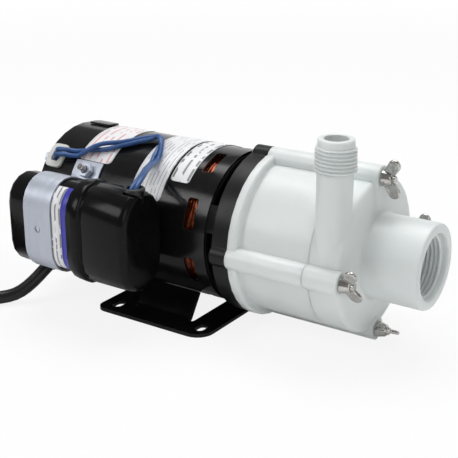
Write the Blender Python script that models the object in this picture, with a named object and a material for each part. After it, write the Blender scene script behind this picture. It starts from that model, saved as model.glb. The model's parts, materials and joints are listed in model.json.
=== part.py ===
"""Magnetic drive pump: a capacitor-run motor on a folded steel base turns a ring magnet, which turns
an enclosed impeller through the wall of a moulded pump head. The head has a threaded inlet on the
shaft axis and an upright threaded outlet, and four wing nuts hold it to the motor.

+X runs along the shaft from the motor to the inlet, +Z is up, and the capacitor is on the -Y side.
The origin is on the mounting face, midway between the two front mounting slots. Lengths in metres.
"""

import math

import bmesh
import bpy
from mathutils import Matrix, Vector

for leftover in list(bpy.data.objects):
    bpy.data.objects.remove(leftover, do_unlink=True)

GAP = 0.0003  # between pieces that touch
WELD_DISTANCE = 0.000001  # closes seams between the faces that a Boolean leaves

# Motor shell, which the shaft height and most other places follow
SHELL_RADIUS = 0.04225
SHELL_WALL = 0.0012
SHELL_FRONT_X = 0.0045
SHELL_REAR_X = -0.1130
SHELL_LIFT = 0.00775
AXIS_HEIGHT = SHELL_RADIUS + SHELL_LIFT

# Base
BASE_THICKNESS = 0.0020
BASE_HALF_WIDTH = 0.0485
BASE_FRONT_X = 0.0075
BASE_REAR_X = -0.0666
BASE_FRONT_CORNER = 0.010
BASE_REAR_CORNER = 0.006
SLOT_SPACING_X = 0.0571
SLOT_SPACING_Y = 0.0772
SLOT_WIDTH = 0.0052
SLOT_LENGTH = 0.0086
WINDOW_FRONT_X = -0.0085
WINDOW_REAR_X = -0.0490
FOLD_HALF_WIDTH = 0.0350
FLAP_FRONT_X = -0.0112
FLAP_REAR_X = -0.0480
FLAP_ANGLE = math.radians(56.7)
FLAP_BEND_RADIUS = 0.0025

# Motor
VENT_COUNT = 8
VENT_X = -0.0063
VENT_WIDTH = 0.0062
VENT_LENGTH = 0.0168
VENT_CORNER = 0.0012
SHAFT_RADIUS = 0.00476
SHAFT_FRONT_X = 0.0240
SHAFT_REAR_INSET = 0.0030
SHAFT_REAR_X = SHELL_REAR_X + SHAFT_REAR_INSET
STATOR_FRONT_X = -0.0290
STATOR_REAR_INSET = 0.0340
STATOR_REAR_X = SHELL_REAR_X + STATOR_REAR_INSET
STATOR_SLOTS = 12
TOOTH_TIP = 0.0020
AIR_GAP = 0.0005
WINDING_FRONT_X = -0.0032
WINDING_REAR_INSET = 0.0155
WINDING_REAR_X = SHELL_REAR_X + WINDING_REAR_INSET
WINDING_CLEARANCE = 0.00395
WINDING_OUTER_RADIUS = SHELL_RADIUS - SHELL_WALL - WINDING_CLEARANCE
WINDING_OVERHANG = 0.0026
STATOR_SLOT_TOP_RADIUS = WINDING_OUTER_RADIUS - WINDING_OVERHANG
STATOR_SLOT_DEPTH = 0.0117
STATOR_BORE_RADIUS = STATOR_SLOT_TOP_RADIUS - STATOR_SLOT_DEPTH
WINDING_SETBACK = 0.0024
WINDING_INNER_RADIUS = STATOR_BORE_RADIUS + WINDING_SETBACK
WINDING_LOBE = 0.0018
BEARING_RADIUS = 0.0110
BEARING_WIDTH = 0.0080
BEARING_WALL = 0.0022
TIE_BOLT_RADIUS = 0.0015
TIE_BOLT_INSET = 0.00365
TIE_BOLT_CIRCLE = SHELL_RADIUS - SHELL_WALL - TIE_BOLT_INSET
TIE_BOLT_HEAD_RADIUS = 0.0034
TIE_BOLT_HEAD_HEIGHT = 0.0024
BELL_WALL = 0.0014
BELL_RIM_LENGTH = 0.0027
BELL_VENTS = 6

# Front bracket, which carries the front bearing and the pump head
BRACKET_REAR_X = -0.0020
RING_REAR_X = 0.0100
RING_LIP = 0.0012
BRACKET_WALL = 0.00245
BRACKET_BORE_RADIUS = SHELL_RADIUS - SHELL_WALL - BRACKET_WALL
BOSS_SLOPE = 0.0022
BOSS_REAR_STEP = 0.0005
BOSS_SLOPE_RADIUS = 0.0036
SPOKE_START = math.radians(158)
SPOKE_ANGLE = math.radians(20)
BRACKET_WINDOWS = 4

# Fan and drive magnet on the motor shaft
FAN_REAR_X = 0.0025
FAN_CLEARANCE = 0.0041
FAN_RADIUS = BRACKET_BORE_RADIUS - FAN_CLEARANCE
FAN_BLADES = 8
FAN_BLADE_FRONT_X = 0.0115
DRIVE_HUB_RADIUS = 0.0120
DRIVE_CUP_REAR_X = 0.0185
DRIVE_CUP_FRONT_X = 0.0580
DRIVE_CUP_RADIUS = 0.0340
DRIVE_CUP_WALL = 0.0028
DRIVE_MAGNET_INNER_RADIUS = 0.0250
DRIVE_MAGNET_REAR_X = 0.0240
DRIVE_MAGNET_FRONT_X = 0.0560

# Pump head
HEAD_REAR_X = 0.0210
HEAD_JOINT_X = 0.0658
HEAD_RADIUS = 0.04135
HEAD_WALL = 0.0030
RIM_RADIUS = 0.04537
RIM_THICKNESS = 0.0047
CAN_RADIUS = 0.0222
CAN_WALL = 0.0022
CAN_END_X = 0.0270
CAN_END_THICKNESS = 0.0025
SPINDLE_BOSS_RADIUS = 0.0060
SPINDLE_BOSS_LENGTH = 0.0035
SPINDLE_RADIUS = 0.0030
SPINDLE_SEAT_DEPTH = 0.0012
BOLT_CIRCLE_RADIUS = 0.04185
RING_LAND = 0.00315
RING_RADIUS = BOLT_CIRCLE_RADIUS + RING_LAND
RING_BORE_INSET = 0.00325
RING_BORE_RADIUS = BOLT_CIRCLE_RADIUS - RING_BORE_INSET
BOLT_START = math.radians(2.15)
BOLT_COUNT = 4
BOSS_RADIUS = 0.0062
BOSS_FRONT_X = 0.0850
STUD_RADIUS = 0.00205
STUD_REAR_X = 0.0110
STUD_FRONT_X = 0.0922
O_RING_RADIUS = 0.0377
O_RING_CORD = 0.0010
CHAMBER_RADIUS = 0.0365
CHAMBER_FRONT_X = 0.0788
VOLUTE_EDGE_X = 0.0836
VOLUTE_EDGE_RADIUS = 0.0397
VOLUTE_EDGE_ROUND = 0.0024
FACE_END_X = 0.0847
EYE_RADIUS = 0.0115
EYE_REAR_X = 0.0862
SOCKET_FLOOR_X = 0.0960
INLET_RADIUS = 0.02247
INLET_FACE_X = 0.11515
INLET_LIP_ROUND = 0.0016
INLET_FILLET = 0.0022
INLET_RECESS_RADIUS = 0.0172
INLET_RECESS_DEPTH = 0.0030
INLET_THREAD_RADIUS = 0.0167
INLET_THREAD_DEPTH = 0.0013
INLET_THREAD_PITCH = 0.002209
INLET_THREAD_TURNS = 5
OUTLET_X = 0.0744
OUTLET_Y = -0.0320
OUTLET_TOP_Z = 0.1171
OUTLET_FOOT_RISE = 0.0025
OUTLET_FOOT_Z = AXIS_HEIGHT + OUTLET_FOOT_RISE
OUTLET_RADIUS = 0.0090
OUTLET_BORE_RADIUS = 0.0060
OUTLET_BORE_RISE = 0.0160
OUTLET_BORE_FOOT_Z = AXIS_HEIGHT + OUTLET_BORE_RISE
OUTLET_THREAD_RADIUS = 0.01018
OUTLET_THREAD_TAPER = 0.00005
OUTLET_THREAD_DEPTH = 0.0013
OUTLET_THREAD_PITCH = 0.001814
OUTLET_THREAD_TURNS = 7
OUTLET_LEAD = 0.0046
SPIDER_HUB_RADIUS = 0.0052
SPIDER_HUB_REAR_X = 0.0810
SPIDER_ARM_X = 0.0915
SPIDER_ARM_LENGTH = 0.0050
SPIDER_ARM_THICKNESS = 0.0024
SPIDER_ARMS = 3

# Impeller
IMPELLER_RADIUS = 0.0340
IMPELLER_REAR_X = 0.0688
IMPELLER_DISC = 0.0022
IMPELLER_FRONT_X = 0.0775
IMPELLER_VANES = 6
VANE_THICKNESS = 0.0016
VANE_INNER_RADIUS = 0.0118
MAGNET_CASE_RADIUS = 0.0190
MAGNET_CASE_WALL = 0.0013
MAGNET_CASE_FRONT_X = 0.0620
HUB_TUBE_RADIUS = 0.0082
BUSHING_WALL = 0.0020
WASHER_THICKNESS = 0.0012
MAGNET_CAP_THICKNESS = 0.0015

# Wing nuts
NUT_BASE_RADIUS = 0.0043
NUT_TOP_RADIUS = 0.0031
NUT_HEIGHT = 0.0052
WING_REACH = 0.0104
WING_WIDTH = 0.0066
WING_THICKNESS = 0.0020
WING_FRONT = 0.0094
WING_TURNS = (97, 97, 117, 156)

# Run capacitor, its boot and strap
CAPACITOR_HALF_WIDTH = 0.0146
CAPACITOR_GAP = 0.00335
CAPACITOR_Y = -(SHELL_RADIUS + CAPACITOR_GAP + CAPACITOR_HALF_WIDTH)
CAPACITOR_RISE = 0.0034
CAPACITOR_Z = AXIS_HEIGHT + CAPACITOR_RISE
CAPACITOR_HALF_HEIGHT = 0.0257
CAPACITOR_INSET = 0.0085
CAPACITOR_REAR_X = SHELL_REAR_X + CAPACITOR_INSET
CAPACITOR_LENGTH = 0.0595
CAPACITOR_FRONT_X = CAPACITOR_REAR_X + CAPACITOR_LENGTH
CAPACITOR_ROUND = 0.0040
BOOT_OVERLAP = 0.0112
BOOT_REAR_X = CAPACITOR_FRONT_X - BOOT_OVERLAP
BOOT_LENGTH = 0.0352
BOOT_FRONT_X = BOOT_REAR_X + BOOT_LENGTH
BOOT_WALL = 0.0016
BOOT_LIP = 0.0011
BOOT_LIP_LENGTH = 0.0052
BOOT_GROOVE = 0.0014
BOOT_ROUND = 0.0036
BOOT_HOLE_INSET = 0.0052
BOOT_HOLE_X = BOOT_FRONT_X - BOOT_HOLE_INSET
BOOT_HOLE_RADIUS = 0.0047
TERMINAL_WIDTH = 0.0063
TERMINAL_THICKNESS = 0.0008
TERMINAL_LENGTH = 0.0080
TERMINAL_SPREAD = 0.0090
STRAP_INSET = 0.0139
STRAP_REAR_X = CAPACITOR_REAR_X + STRAP_INSET
STRAP_WIDTH = 0.01905
STRAP_THICKNESS = 0.0009
STRAP_TAB_TOP = math.radians(135.0)
STRAP_TAB_END = math.radians(151.0)
STRAP_FOOT_START = math.radians(206.0)
STRAP_FOOT_END = math.radians(222.0)
STRAP_HOLE_RADIUS = 0.0020
STRAP_STUD_INSET = 0.0106
STRAP_STUD_X = STRAP_REAR_X + STRAP_STUD_INSET
STRAP_STUD_TOP = math.radians(143.5)
STRAP_STUD_RADIUS = 0.0019
STRAP_STUD_REACH = 0.0085
STRAP_NUT_RADIUS = 0.0045
STRAP_NUT_HEIGHT = 0.0030

# Lead grommet, capacitor leads and the tab on the shell's rear
GROMMET_INSET = 0.0067
GROMMET_X = SHELL_REAR_X + GROMMET_INSET
GROMMET_TURN = math.radians(135.3)
GROMMET_LENGTH = 0.0114
GROMMET_WIDTH = 0.0148
GROMMET_HOLE_LENGTH = 0.0056
GROMMET_HOLE_WIDTH = 0.0080
GROMMET_HEIGHT = 0.0016
GROMMET_LIP = 0.0012
LEAD_RADIUS = 0.00135
LEAD_BEND_INSET = 0.0216
LEAD_BEND_X = BOOT_HOLE_X - LEAD_BEND_INSET
SHELL_TAB_INSET = 0.0050
SHELL_TAB_REAR_X = SHELL_REAR_X + SHELL_TAB_INSET
SHELL_TAB_LENGTH = 0.0150
SHELL_TAB_WIDTH = 0.0090
SHELL_TAB_THICKNESS = 0.0011
SHELL_TAB_TURN = math.radians(83)

# Power cord
CORD_RADIUS = 0.0037
CORD_EXIT_INSET = 0.0147
CORD_EXIT_TURN = math.radians(212.354)
CORD_EXIT_RADIUS = SHELL_RADIUS - SHELL_WALL / 2
CORD_EXIT = Vector(
    (
        SHELL_REAR_X + CORD_EXIT_INSET,
        CORD_EXIT_RADIUS * math.cos(CORD_EXIT_TURN),
        AXIS_HEIGHT + CORD_EXIT_RADIUS * math.sin(CORD_EXIT_TURN),
    )
)
CORD_EXIT_DIRECTION = Vector((-0.15, -0.85, -0.50)).normalized()
RELIEF_LENGTH = 0.0200
RELIEF_INSIDE = 0.0040
RELIEF_ROOT_RADIUS = 0.0060
RELIEF_TIP_RADIUS = 0.0045
CORD_ROUTE = (
    (-0.1012, -0.0500, 0.0189),
    (-0.1033, -0.0558, 0.0140),
    (-0.1065, -0.0618, 0.0090),
    (-0.1107, -0.0675, 0.0055),
    (-0.1169, -0.0736, 0.0040),
    (-0.1260, -0.0835, 0.0040),
    (-0.1350, -0.0932, 0.0040),
)
COIL_CENTRE = Vector((-0.1851, -0.0823, 0.0))
COIL_OUTER_TURN = 0.0444
COIL_ACROSS = 0.0154
COIL_HEIGHT = 0.0228
PLUG_RELIEF_LENGTH = 0.0200
PLUG_LENGTH = 0.0280
PLUG_HALF_WIDTH = 0.0125
PLUG_HALF_HEIGHT = 0.0112
BLADE_LENGTH = 0.0170
BLADE_WIDTH = 0.0063
BLADE_THICKNESS = 0.0015
BLADE_SPREAD = 0.00635
GROUND_PIN_RADIUS = 0.0024
GROUND_PIN_LENGTH = 0.0200
GROUND_PIN_DROP = 0.0060

ROUND = 34
SHELL_ROUND = 56
VOLUTE_ROUND = 44
OUTLET_ROUND = 20
SMALL_ROUND = 16
SHARP_ANGLE = math.radians(35)


def material(name, colour, roughness, metallic=0.0):
    made = bpy.data.materials.new(name)
    made.use_nodes = True
    shader = made.node_tree.nodes["Principled BSDF"]
    shader.inputs["Base Color"].default_value = (*colour, 1.0)
    shader.inputs["Roughness"].default_value = roughness
    shader.inputs["Metallic"].default_value = metallic
    return made


BLACK_PAINT = material("black_paint", (0.012, 0.012, 0.013), 0.28)
WHITE_PLASTIC = material("white_plastic", (0.80, 0.85, 0.84), 0.40)
BLACK_PLASTIC = material("black_plastic", (0.016, 0.016, 0.017), 0.42)
NYLON = material("natural_nylon", (0.80, 0.80, 0.76), 0.45)
ZINC = material("zinc_plate", (0.62, 0.66, 0.72), 0.32, 1.0)
STAINLESS = material("stainless_steel", (0.45, 0.43, 0.41), 0.22, 1.0)
LAMINATION = material("lamination_steel", (0.30, 0.29, 0.28), 0.45, 1.0)
COPPER = material("enamelled_copper", (0.60, 0.22, 0.08), 0.30, 1.0)
FERRITE = material("ferrite", (0.05, 0.05, 0.055), 0.55)
CERAMIC = material("alumina", (0.88, 0.86, 0.82), 0.25)
CARBON = material("carbon", (0.03, 0.03, 0.03), 0.50)
RUBBER = material("black_rubber", (0.015, 0.015, 0.015), 0.60)
BLUE_WIRE = material("blue_insulation", (0.03, 0.10, 0.36), 0.38)
CORD_PVC = material("black_pvc", (0.014, 0.014, 0.015), 0.45)
BRASS = material("nickelled_brass", (0.62, 0.56, 0.42), 0.28, 1.0)


def finish_mesh(bm, name):
    bmesh.ops.remove_doubles(bm, verts=bm.verts, dist=1e-7)
    bmesh.ops.recalc_face_normals(bm, faces=bm.faces)
    mesh = bpy.data.meshes.new(name)
    bm.to_mesh(mesh)
    bm.free()
    mesh.shade_smooth()
    mesh.set_sharp_from_angle(angle=SHARP_ANGLE)
    return mesh


def add(name, bm, look):
    """A named piece made from a bmesh."""
    mesh = finish_mesh(bm, name)
    mesh.materials.append(look)
    made = bpy.data.objects.new(name, mesh)
    bpy.context.scene.collection.objects.link(made)
    return made


def combine(piece, bm, operation):
    """Adds a Boolean to the piece, with its tool kept as a hidden object."""
    tool_name = f"{piece.name}_tool_{len(piece.modifiers) + 1}"
    tool = bpy.data.objects.new(tool_name, finish_mesh(bm, tool_name))
    bpy.context.scene.collection.objects.link(tool)
    tool.hide_render = True
    tool.display_type = "WIRE"
    modifier = piece.modifiers.new(operation.lower(), "BOOLEAN")
    modifier.operation = operation
    modifier.solver = "EXACT"
    modifier.use_hole_tolerant = True
    modifier.object = tool
    weld = piece.modifiers.new("weld", "WELD")
    weld.merge_threshold = WELD_DISTANCE
    return tool


def cut(piece, bm):
    return combine(piece, bm, "DIFFERENCE")


def join(piece, bm):
    return combine(piece, bm, "UNION")


def turned(profile, segments=ROUND, closed=True):
    """A solid turned about the X axis from (x, radius) points. Open profiles end on the axis."""
    bm = bmesh.new()
    verts = [bm.verts.new((x, 0.0, radius)) for x, radius in profile]
    edges = [bm.edges.new(pair) for pair in zip(verts, verts[1:])]
    if closed:
        edges.append(bm.edges.new((verts[-1], verts[0])))
    bmesh.ops.spin(
        bm,
        geom=verts + edges,
        cent=(0, 0, 0),
        axis=(1, 0, 0),
        angle=math.tau,
        steps=segments,
        use_merge=True,
    )
    bmesh.ops.remove_doubles(bm, verts=bm.verts, dist=1e-7)
    return bm


def ring(rear, front, inner, outer, segments=ROUND):
    return turned([(rear, inner), (rear, outer), (front, outer), (front, inner)], segments)


def rod(rear, front, radius, segments=SMALL_ROUND):
    return turned([(rear, 0.0), (rear, radius), (front, radius), (front, 0.0)], segments, closed=False)


def prism(outline, low, high):
    """A prism along Z with the given outline in X and Y."""
    bm = bmesh.new()
    face = bm.faces.new([bm.verts.new((u, v, low)) for u, v in outline])
    grown = bmesh.ops.extrude_face_region(bm, geom=[face])
    moved = [item for item in grown["geom"] if isinstance(item, bmesh.types.BMVert)]
    bmesh.ops.translate(bm, verts=moved, vec=(0, 0, high - low))
    bmesh.ops.recalc_face_normals(bm, faces=bm.faces)
    return bm


def moved(bm, matrix):
    bmesh.ops.transform(bm, matrix=matrix, verts=bm.verts)
    return bm


def merged(parts):
    """One bmesh holding copies of several separate solids."""
    whole = bmesh.new()
    for part in parts:
        mesh = bpy.data.meshes.new("part")
        part.to_mesh(mesh)
        part.free()
        whole.from_mesh(mesh)
        bpy.data.meshes.remove(mesh)
    return whole


def arc(centre, radius, start, end, steps):
    return [
        (
            centre[0] + radius * math.cos(start + (end - start) * i / steps),
            centre[1] + radius * math.sin(start + (end - start) * i / steps),
        )
        for i in range(steps + 1)
    ]


def rounded_rectangle(low_u, high_u, low_v, high_v, radii, steps=4):
    """Corner radii go low-low, high-low, high-high, low-high."""
    quarter = math.pi / 2
    corners = (
        (low_u + radii[0], low_v + radii[0]),
        (high_u - radii[1], low_v + radii[1]),
        (high_u - radii[2], high_v - radii[2]),
        (low_u + radii[3], high_v - radii[3]),
    )
    points = []
    for i, centre in enumerate(corners):
        points += arc(centre, radii[i], math.pi + i * quarter, math.pi + (i + 1) * quarter, steps)
    return points


def on_axis(x=0.0):
    """The shaft axis, at a station x."""
    return Matrix.Translation((x, 0.0, AXIS_HEIGHT))


def along_x():
    """Turns a prism so that its outline (u, v) lies in Y and Z and it runs along X."""
    return Matrix(((0, 0, 1, 0), (1, 0, 0, 0), (0, 1, 0, 0), (0, 0, 0, 1)))


def outwards(turn, x=0.0, radius=0.0):
    """Local Z points out from the shaft at an angle from +Y towards +Z, and local X stays along X."""
    out = Vector((0, math.cos(turn), math.sin(turn)))
    along = Vector((1, 0, 0))
    side = out.cross(along)
    basis = Matrix((along, side, out)).transposed().to_4x4()
    return on_axis(x) @ Matrix.Translation(out * radius) @ basis


def bolt_places():
    for i in range(BOLT_COUNT):
        turn = BOLT_START + i * math.tau / BOLT_COUNT
        yield i, BOLT_CIRCLE_RADIUS * math.cos(turn), BOLT_CIRCLE_RADIUS * math.sin(turn)


def tie_bolt_places():
    for i in range(4):
        turn = math.radians(45 + 90 * i)
        yield i, TIE_BOLT_CIRCLE * math.cos(turn), TIE_BOLT_CIRCLE * math.sin(turn)


def beside_axis(y, z):
    return Matrix.Translation((0.0, y, AXIS_HEIGHT + z))


def smooth_route(points, step):
    """Points about one step apart on a Catmull-Rom curve through the given points."""
    places = [Vector(p) for p in points]
    ends = [2 * places[0] - places[1], *places, 2 * places[-1] - places[-2]]
    route = [places[0]]
    for a, b, c, d in zip(ends, ends[1:], ends[2:], ends[3:]):
        count = max(1, round((c - b).length / step))
        for i in range(1, count + 1):
            t = i / count
            route.append(
                0.5
                * (
                    2 * b
                    + (c - a) * t
                    + (2 * a - 5 * b + 4 * c - d) * t**2
                    + (3 * b - a - 3 * c + d) * t**3
                )
            )
    return route


def tube(name, points, radius, look, resolution=2):
    """A cord along a poly spline, with closed ends."""
    curve = bpy.data.curves.new(name, "CURVE")
    curve.dimensions = "3D"
    curve.bevel_depth = radius
    curve.bevel_resolution = resolution
    curve.use_fill_caps = True
    spline = curve.splines.new("POLY")
    spline.points.add(len(points) - 1)
    for place, point in zip(spline.points, points):
        place.co = (*point, 1.0)
    curve.materials.append(look)
    made = bpy.data.objects.new(name, curve)
    bpy.context.scene.collection.objects.link(made)
    return made


def loft(rings, name, look):
    """A closed solid through rings of equally many points, with flat ends."""
    bm = bmesh.new()
    rows = [[bm.verts.new(p) for p in points] for points in rings]
    count = len(rows[0])
    for low, high in zip(rows, rows[1:]):
        for i in range(count):
            bm.faces.new((low[i], low[(i + 1) % count], high[(i + 1) % count], high[i]))
    bm.faces.new(rows[0])
    bm.faces.new(rows[-1])
    return add(name, bm, look)


def stadium(half_width, half_height, x, arc_steps=8):
    """An upright oval with round ends, about the capacitor's own axis."""
    straight = half_height - half_width
    top = arc((0.0, straight), half_width, 0.0, math.pi, arc_steps)
    bottom = arc((0.0, -straight), half_width, math.pi, math.tau, arc_steps)
    return [(x, CAPACITOR_Y + u, CAPACITOR_Z + v) for u, v in top + bottom]


def base_plate():
    """Folded steel base: two flaps pushed up out of the plate hold the shell over the window they leave."""
    radii = (BASE_REAR_CORNER, BASE_FRONT_CORNER, BASE_FRONT_CORNER, BASE_REAR_CORNER)
    outline = rounded_rectangle(BASE_REAR_X, BASE_FRONT_X, -BASE_HALF_WIDTH, BASE_HALF_WIDTH, radii, 6)
    plate = add("base_plate", prism(outline, 0.0, BASE_THICKNESS), BLACK_PAINT)
    window = rounded_rectangle(
        WINDOW_REAR_X, WINDOW_FRONT_X, -FOLD_HALF_WIDTH, FOLD_HALF_WIDTH, (0.0015,) * 4
    )
    holes = [prism(window, -BASE_THICKNESS, 2 * BASE_THICKNESS)]
    for x in (0.0, -SLOT_SPACING_X):
        for y in (-SLOT_SPACING_Y / 2, SLOT_SPACING_Y / 2):
            slot = rounded_rectangle(
                x - SLOT_WIDTH / 2,
                x + SLOT_WIDTH / 2,
                y - SLOT_LENGTH / 2,
                y + SLOT_LENGTH / 2,
                (SLOT_WIDTH / 2 * 0.98,) * 4,
            )
            holes.append(prism(slot, -BASE_THICKNESS, 2 * BASE_THICKNESS))
    cut(plate, merged(holes))
    for side in (-1, 1):
        join(plate, flap(side))
    return plate


def flap_section():
    """The bent flap across the sheet, for the +Y side: (y, z) round its outline."""
    inner = FLAP_BEND_RADIUS
    outer = FLAP_BEND_RADIUS + BASE_THICKNESS
    centre = (FOLD_HALF_WIDTH, BASE_THICKNESS + inner)
    start = -math.pi / 2
    end = start - FLAP_ANGLE
    top_bend = arc(centre, inner, start, end, 4)
    under_bend = arc(centre, outer, start, end, 4)
    rise = Vector((-math.cos(FLAP_ANGLE), math.sin(FLAP_ANGLE)))
    foot = Vector(under_bend[-1]) - Vector((0.0, AXIS_HEIGHT))
    reach = SHELL_RADIUS + GAP
    along = foot.dot(rise)
    length = -along - math.sqrt(along**2 - foot.dot(foot) + reach**2)
    top_end = Vector(top_bend[-1]) + rise * length
    under_end = Vector(under_bend[-1]) + rise * length
    root = FOLD_HALF_WIDTH + 2 * BASE_THICKNESS
    return [
        (root, 0.0),
        (root, BASE_THICKNESS),
        *top_bend,
        tuple(top_end),
        tuple(under_end),
        *reversed(under_bend),
    ]


def flap(side):
    outline = [(side * y, z) for y, z in flap_section()]
    return moved(prism(outline, FLAP_REAR_X, FLAP_FRONT_X), along_x())


def motor_shell():
    wall = ring(SHELL_REAR_X, SHELL_FRONT_X, SHELL_RADIUS - SHELL_WALL, SHELL_RADIUS, SHELL_ROUND)
    shell = add("motor_shell", moved(wall, on_axis()), BLACK_PAINT)
    deep = SHELL_RADIUS - 4 * SHELL_WALL
    high = SHELL_RADIUS + 4 * SHELL_WALL
    half = VENT_WIDTH / 2
    slot = rounded_rectangle(
        -half, half, -VENT_LENGTH / 2, VENT_LENGTH / 2, (VENT_CORNER,) * 4, 2
    )
    vents = []
    for i in range(VENT_COUNT):
        turn = (i + 0.5) * math.tau / VENT_COUNT
        vents.append(moved(prism(slot, deep, high), outwards(turn, VENT_X)))
    notch = grommet_outline(GAP)
    vents.append(moved(prism(notch, deep, high), outwards(GROMMET_TURN, GROMMET_X)))
    bore = prism(arc((0, 0), RELIEF_ROOT_RADIUS + GAP, 0, math.tau * 23 / 24, 23), deep, high)
    vents.append(moved(bore, outwards(CORD_EXIT_TURN, CORD_EXIT.x)))
    cut(shell, merged(vents))
    return shell


def rear_end_bell():
    """Drawn cover with a bearing cup in its middle."""
    outside = SHELL_REAR_X - BELL_WALL - GAP
    inside = SHELL_REAR_X - GAP
    rim = SHELL_RADIUS - SHELL_WALL - GAP
    cup = BEARING_RADIUS + GAP
    bearing_rear = SHAFT_REAR_X
    profile = [
        (outside, 0.0),
        (outside, SHELL_RADIUS - BELL_WALL),
        (outside + BELL_WALL * 0.4, SHELL_RADIUS - BELL_WALL * 0.3),
        (inside, SHELL_RADIUS),
        (inside, rim),
        (inside + BELL_RIM_LENGTH, rim),
        (inside + BELL_RIM_LENGTH, rim - BELL_WALL),
        (inside, rim - BELL_WALL),
        (inside, cup + BELL_WALL),
        (bearing_rear + BEARING_WIDTH, cup + BELL_WALL),
        (bearing_rear + BEARING_WIDTH, cup),
        (bearing_rear - GAP, cup),
        (bearing_rear - GAP, 0.0),
    ]
    bell = add("rear_end_bell", moved(turned(profile, closed=False), on_axis()), BLACK_PAINT)
    tools = []
    for i in range(BELL_VENTS):
        middle = i * math.tau / BELL_VENTS
        half = math.tau / BELL_VENTS * 0.30
        outer = arc((0, 0), TIE_BOLT_CIRCLE - 0.0050, middle - half, middle + half, 5)
        inner = arc((0, 0), cup + 4 * BELL_WALL, middle + half, middle - half, 5)
        slot = prism(outer + inner, outside - BELL_WALL, inside + BELL_WALL)
        tools.append(moved(slot, on_axis() @ along_x()))
    for _, y, z in tie_bolt_places():
        hole = rod(outside - BELL_WALL, inside + BELL_WALL, TIE_BOLT_RADIUS + GAP, 12)
        tools.append(moved(hole, beside_axis(y, z)))
    cut(bell, merged(tools))
    return bell


def front_bracket():
    """Cast bracket: a bearing web inside the shell, four spokes, and the ring that the head bolts to."""
    inner_rim = SHELL_RADIUS - SHELL_WALL - GAP
    cup = BEARING_RADIUS + GAP
    web = BRACKET_REAR_X + 0.0020
    hub = cup + 0.0020
    front = HEAD_REAR_X - GAP
    step = SHELL_FRONT_X + GAP
    profile = [
        (BRACKET_REAR_X - BEARING_WIDTH + 0.0010, cup),
        (BRACKET_REAR_X - BEARING_WIDTH + 0.0010, hub),
        (BRACKET_REAR_X, hub),
        (BRACKET_REAR_X, inner_rim),
        (step, inner_rim),
        (step, SHELL_RADIUS),
        (RING_REAR_X, SHELL_RADIUS + GAP),
        (RING_REAR_X + RING_LIP, RING_RADIUS),
        (front, RING_RADIUS),
        (front, RING_BORE_RADIUS),
        (RING_REAR_X + RING_LIP, RING_BORE_RADIUS),
        (RING_REAR_X, BRACKET_BORE_RADIUS),
        (web, BRACKET_BORE_RADIUS),
        (web, hub),
        (web + 0.0014, hub - 0.0006),
        (web + 0.0014, SHAFT_RADIUS + 0.0020),
        (web, SHAFT_RADIUS + 0.0020),
        (web, cup),
    ]
    bracket = add("front_bracket", moved(turned(profile), on_axis()), BLACK_PAINT)
    bosses = []
    boss_rear = RING_REAR_X - BOSS_REAR_STEP
    sloped = [
        (boss_rear, 0.0),
        (boss_rear, BOSS_SLOPE_RADIUS),
        (boss_rear + BOSS_SLOPE, BOSS_RADIUS),
        (front, BOSS_RADIUS),
        (front, 0.0),
    ]
    for _, y, z in bolt_places():
        bosses.append(moved(turned(sloped, SMALL_ROUND, closed=False), beside_axis(y, z)))
    join(bracket, merged(bosses))
    tools = []
    for i in range(BRACKET_WINDOWS):
        start = SPOKE_START + i * math.tau / BRACKET_WINDOWS + SPOKE_ANGLE / 2
        end = start + math.tau / BRACKET_WINDOWS - SPOKE_ANGLE
        outer = arc((0, 0), RING_RADIUS + 0.0100, start, end, 10)
        inner = arc((0, 0), BRACKET_BORE_RADIUS - 0.0020, end, start, 10)
        window = prism(outer + inner, step - 0.0001, RING_REAR_X + 0.0002)
        tools.append(moved(window, on_axis() @ along_x()))
        turn = i * math.tau / BRACKET_WINDOWS
        half = math.radians(30)
        outer = arc((0, 0), BRACKET_BORE_RADIUS - 0.0016, turn - half, turn + half, 8)
        inner = arc((0, 0), hub + 0.0030, turn + half, turn - half, 8)
        opening = prism(outer + inner, BRACKET_REAR_X - 0.0020, web + 0.0020)
        tools.append(moved(opening, on_axis() @ along_x()))
    cut(bracket, merged(tools))
    holes = []
    for _, y, z in bolt_places():
        hole = rod(RING_REAR_X - 0.0040, front + 0.0040, STUD_RADIUS + GAP, 12)
        holes.append(moved(hole, beside_axis(y, z)))
    for _, y, z in tie_bolt_places():
        hole = rod(BRACKET_REAR_X - 0.0020, web + 0.0010, TIE_BOLT_RADIUS + GAP, 12)
        holes.append(moved(hole, beside_axis(y, z)))
    cut(bracket, merged(holes))
    return bracket


def stator_outline(slot_inset, inner_radius):
    """The bore of the stack, with its winding slots, as (y, z) points."""
    pitch = math.tau / STATOR_SLOTS
    points = []
    for i in range(STATOR_SLOTS):
        middle = i * pitch
        mouth = pitch * 0.10
        belly = pitch * 0.26
        shoulder = inner_radius + TOOTH_TIP
        for radius, turn in (
            (inner_radius, middle - mouth),
            (shoulder, middle - mouth),
            (shoulder + slot_inset, middle - belly),
            (STATOR_SLOT_TOP_RADIUS, middle - belly),
            (STATOR_SLOT_TOP_RADIUS, middle + belly),
            (shoulder + slot_inset, middle + belly),
            (shoulder, middle + mouth),
            (inner_radius, middle + mouth),
        ):
            points.append((radius * math.cos(turn), radius * math.sin(turn)))
    return points


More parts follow.
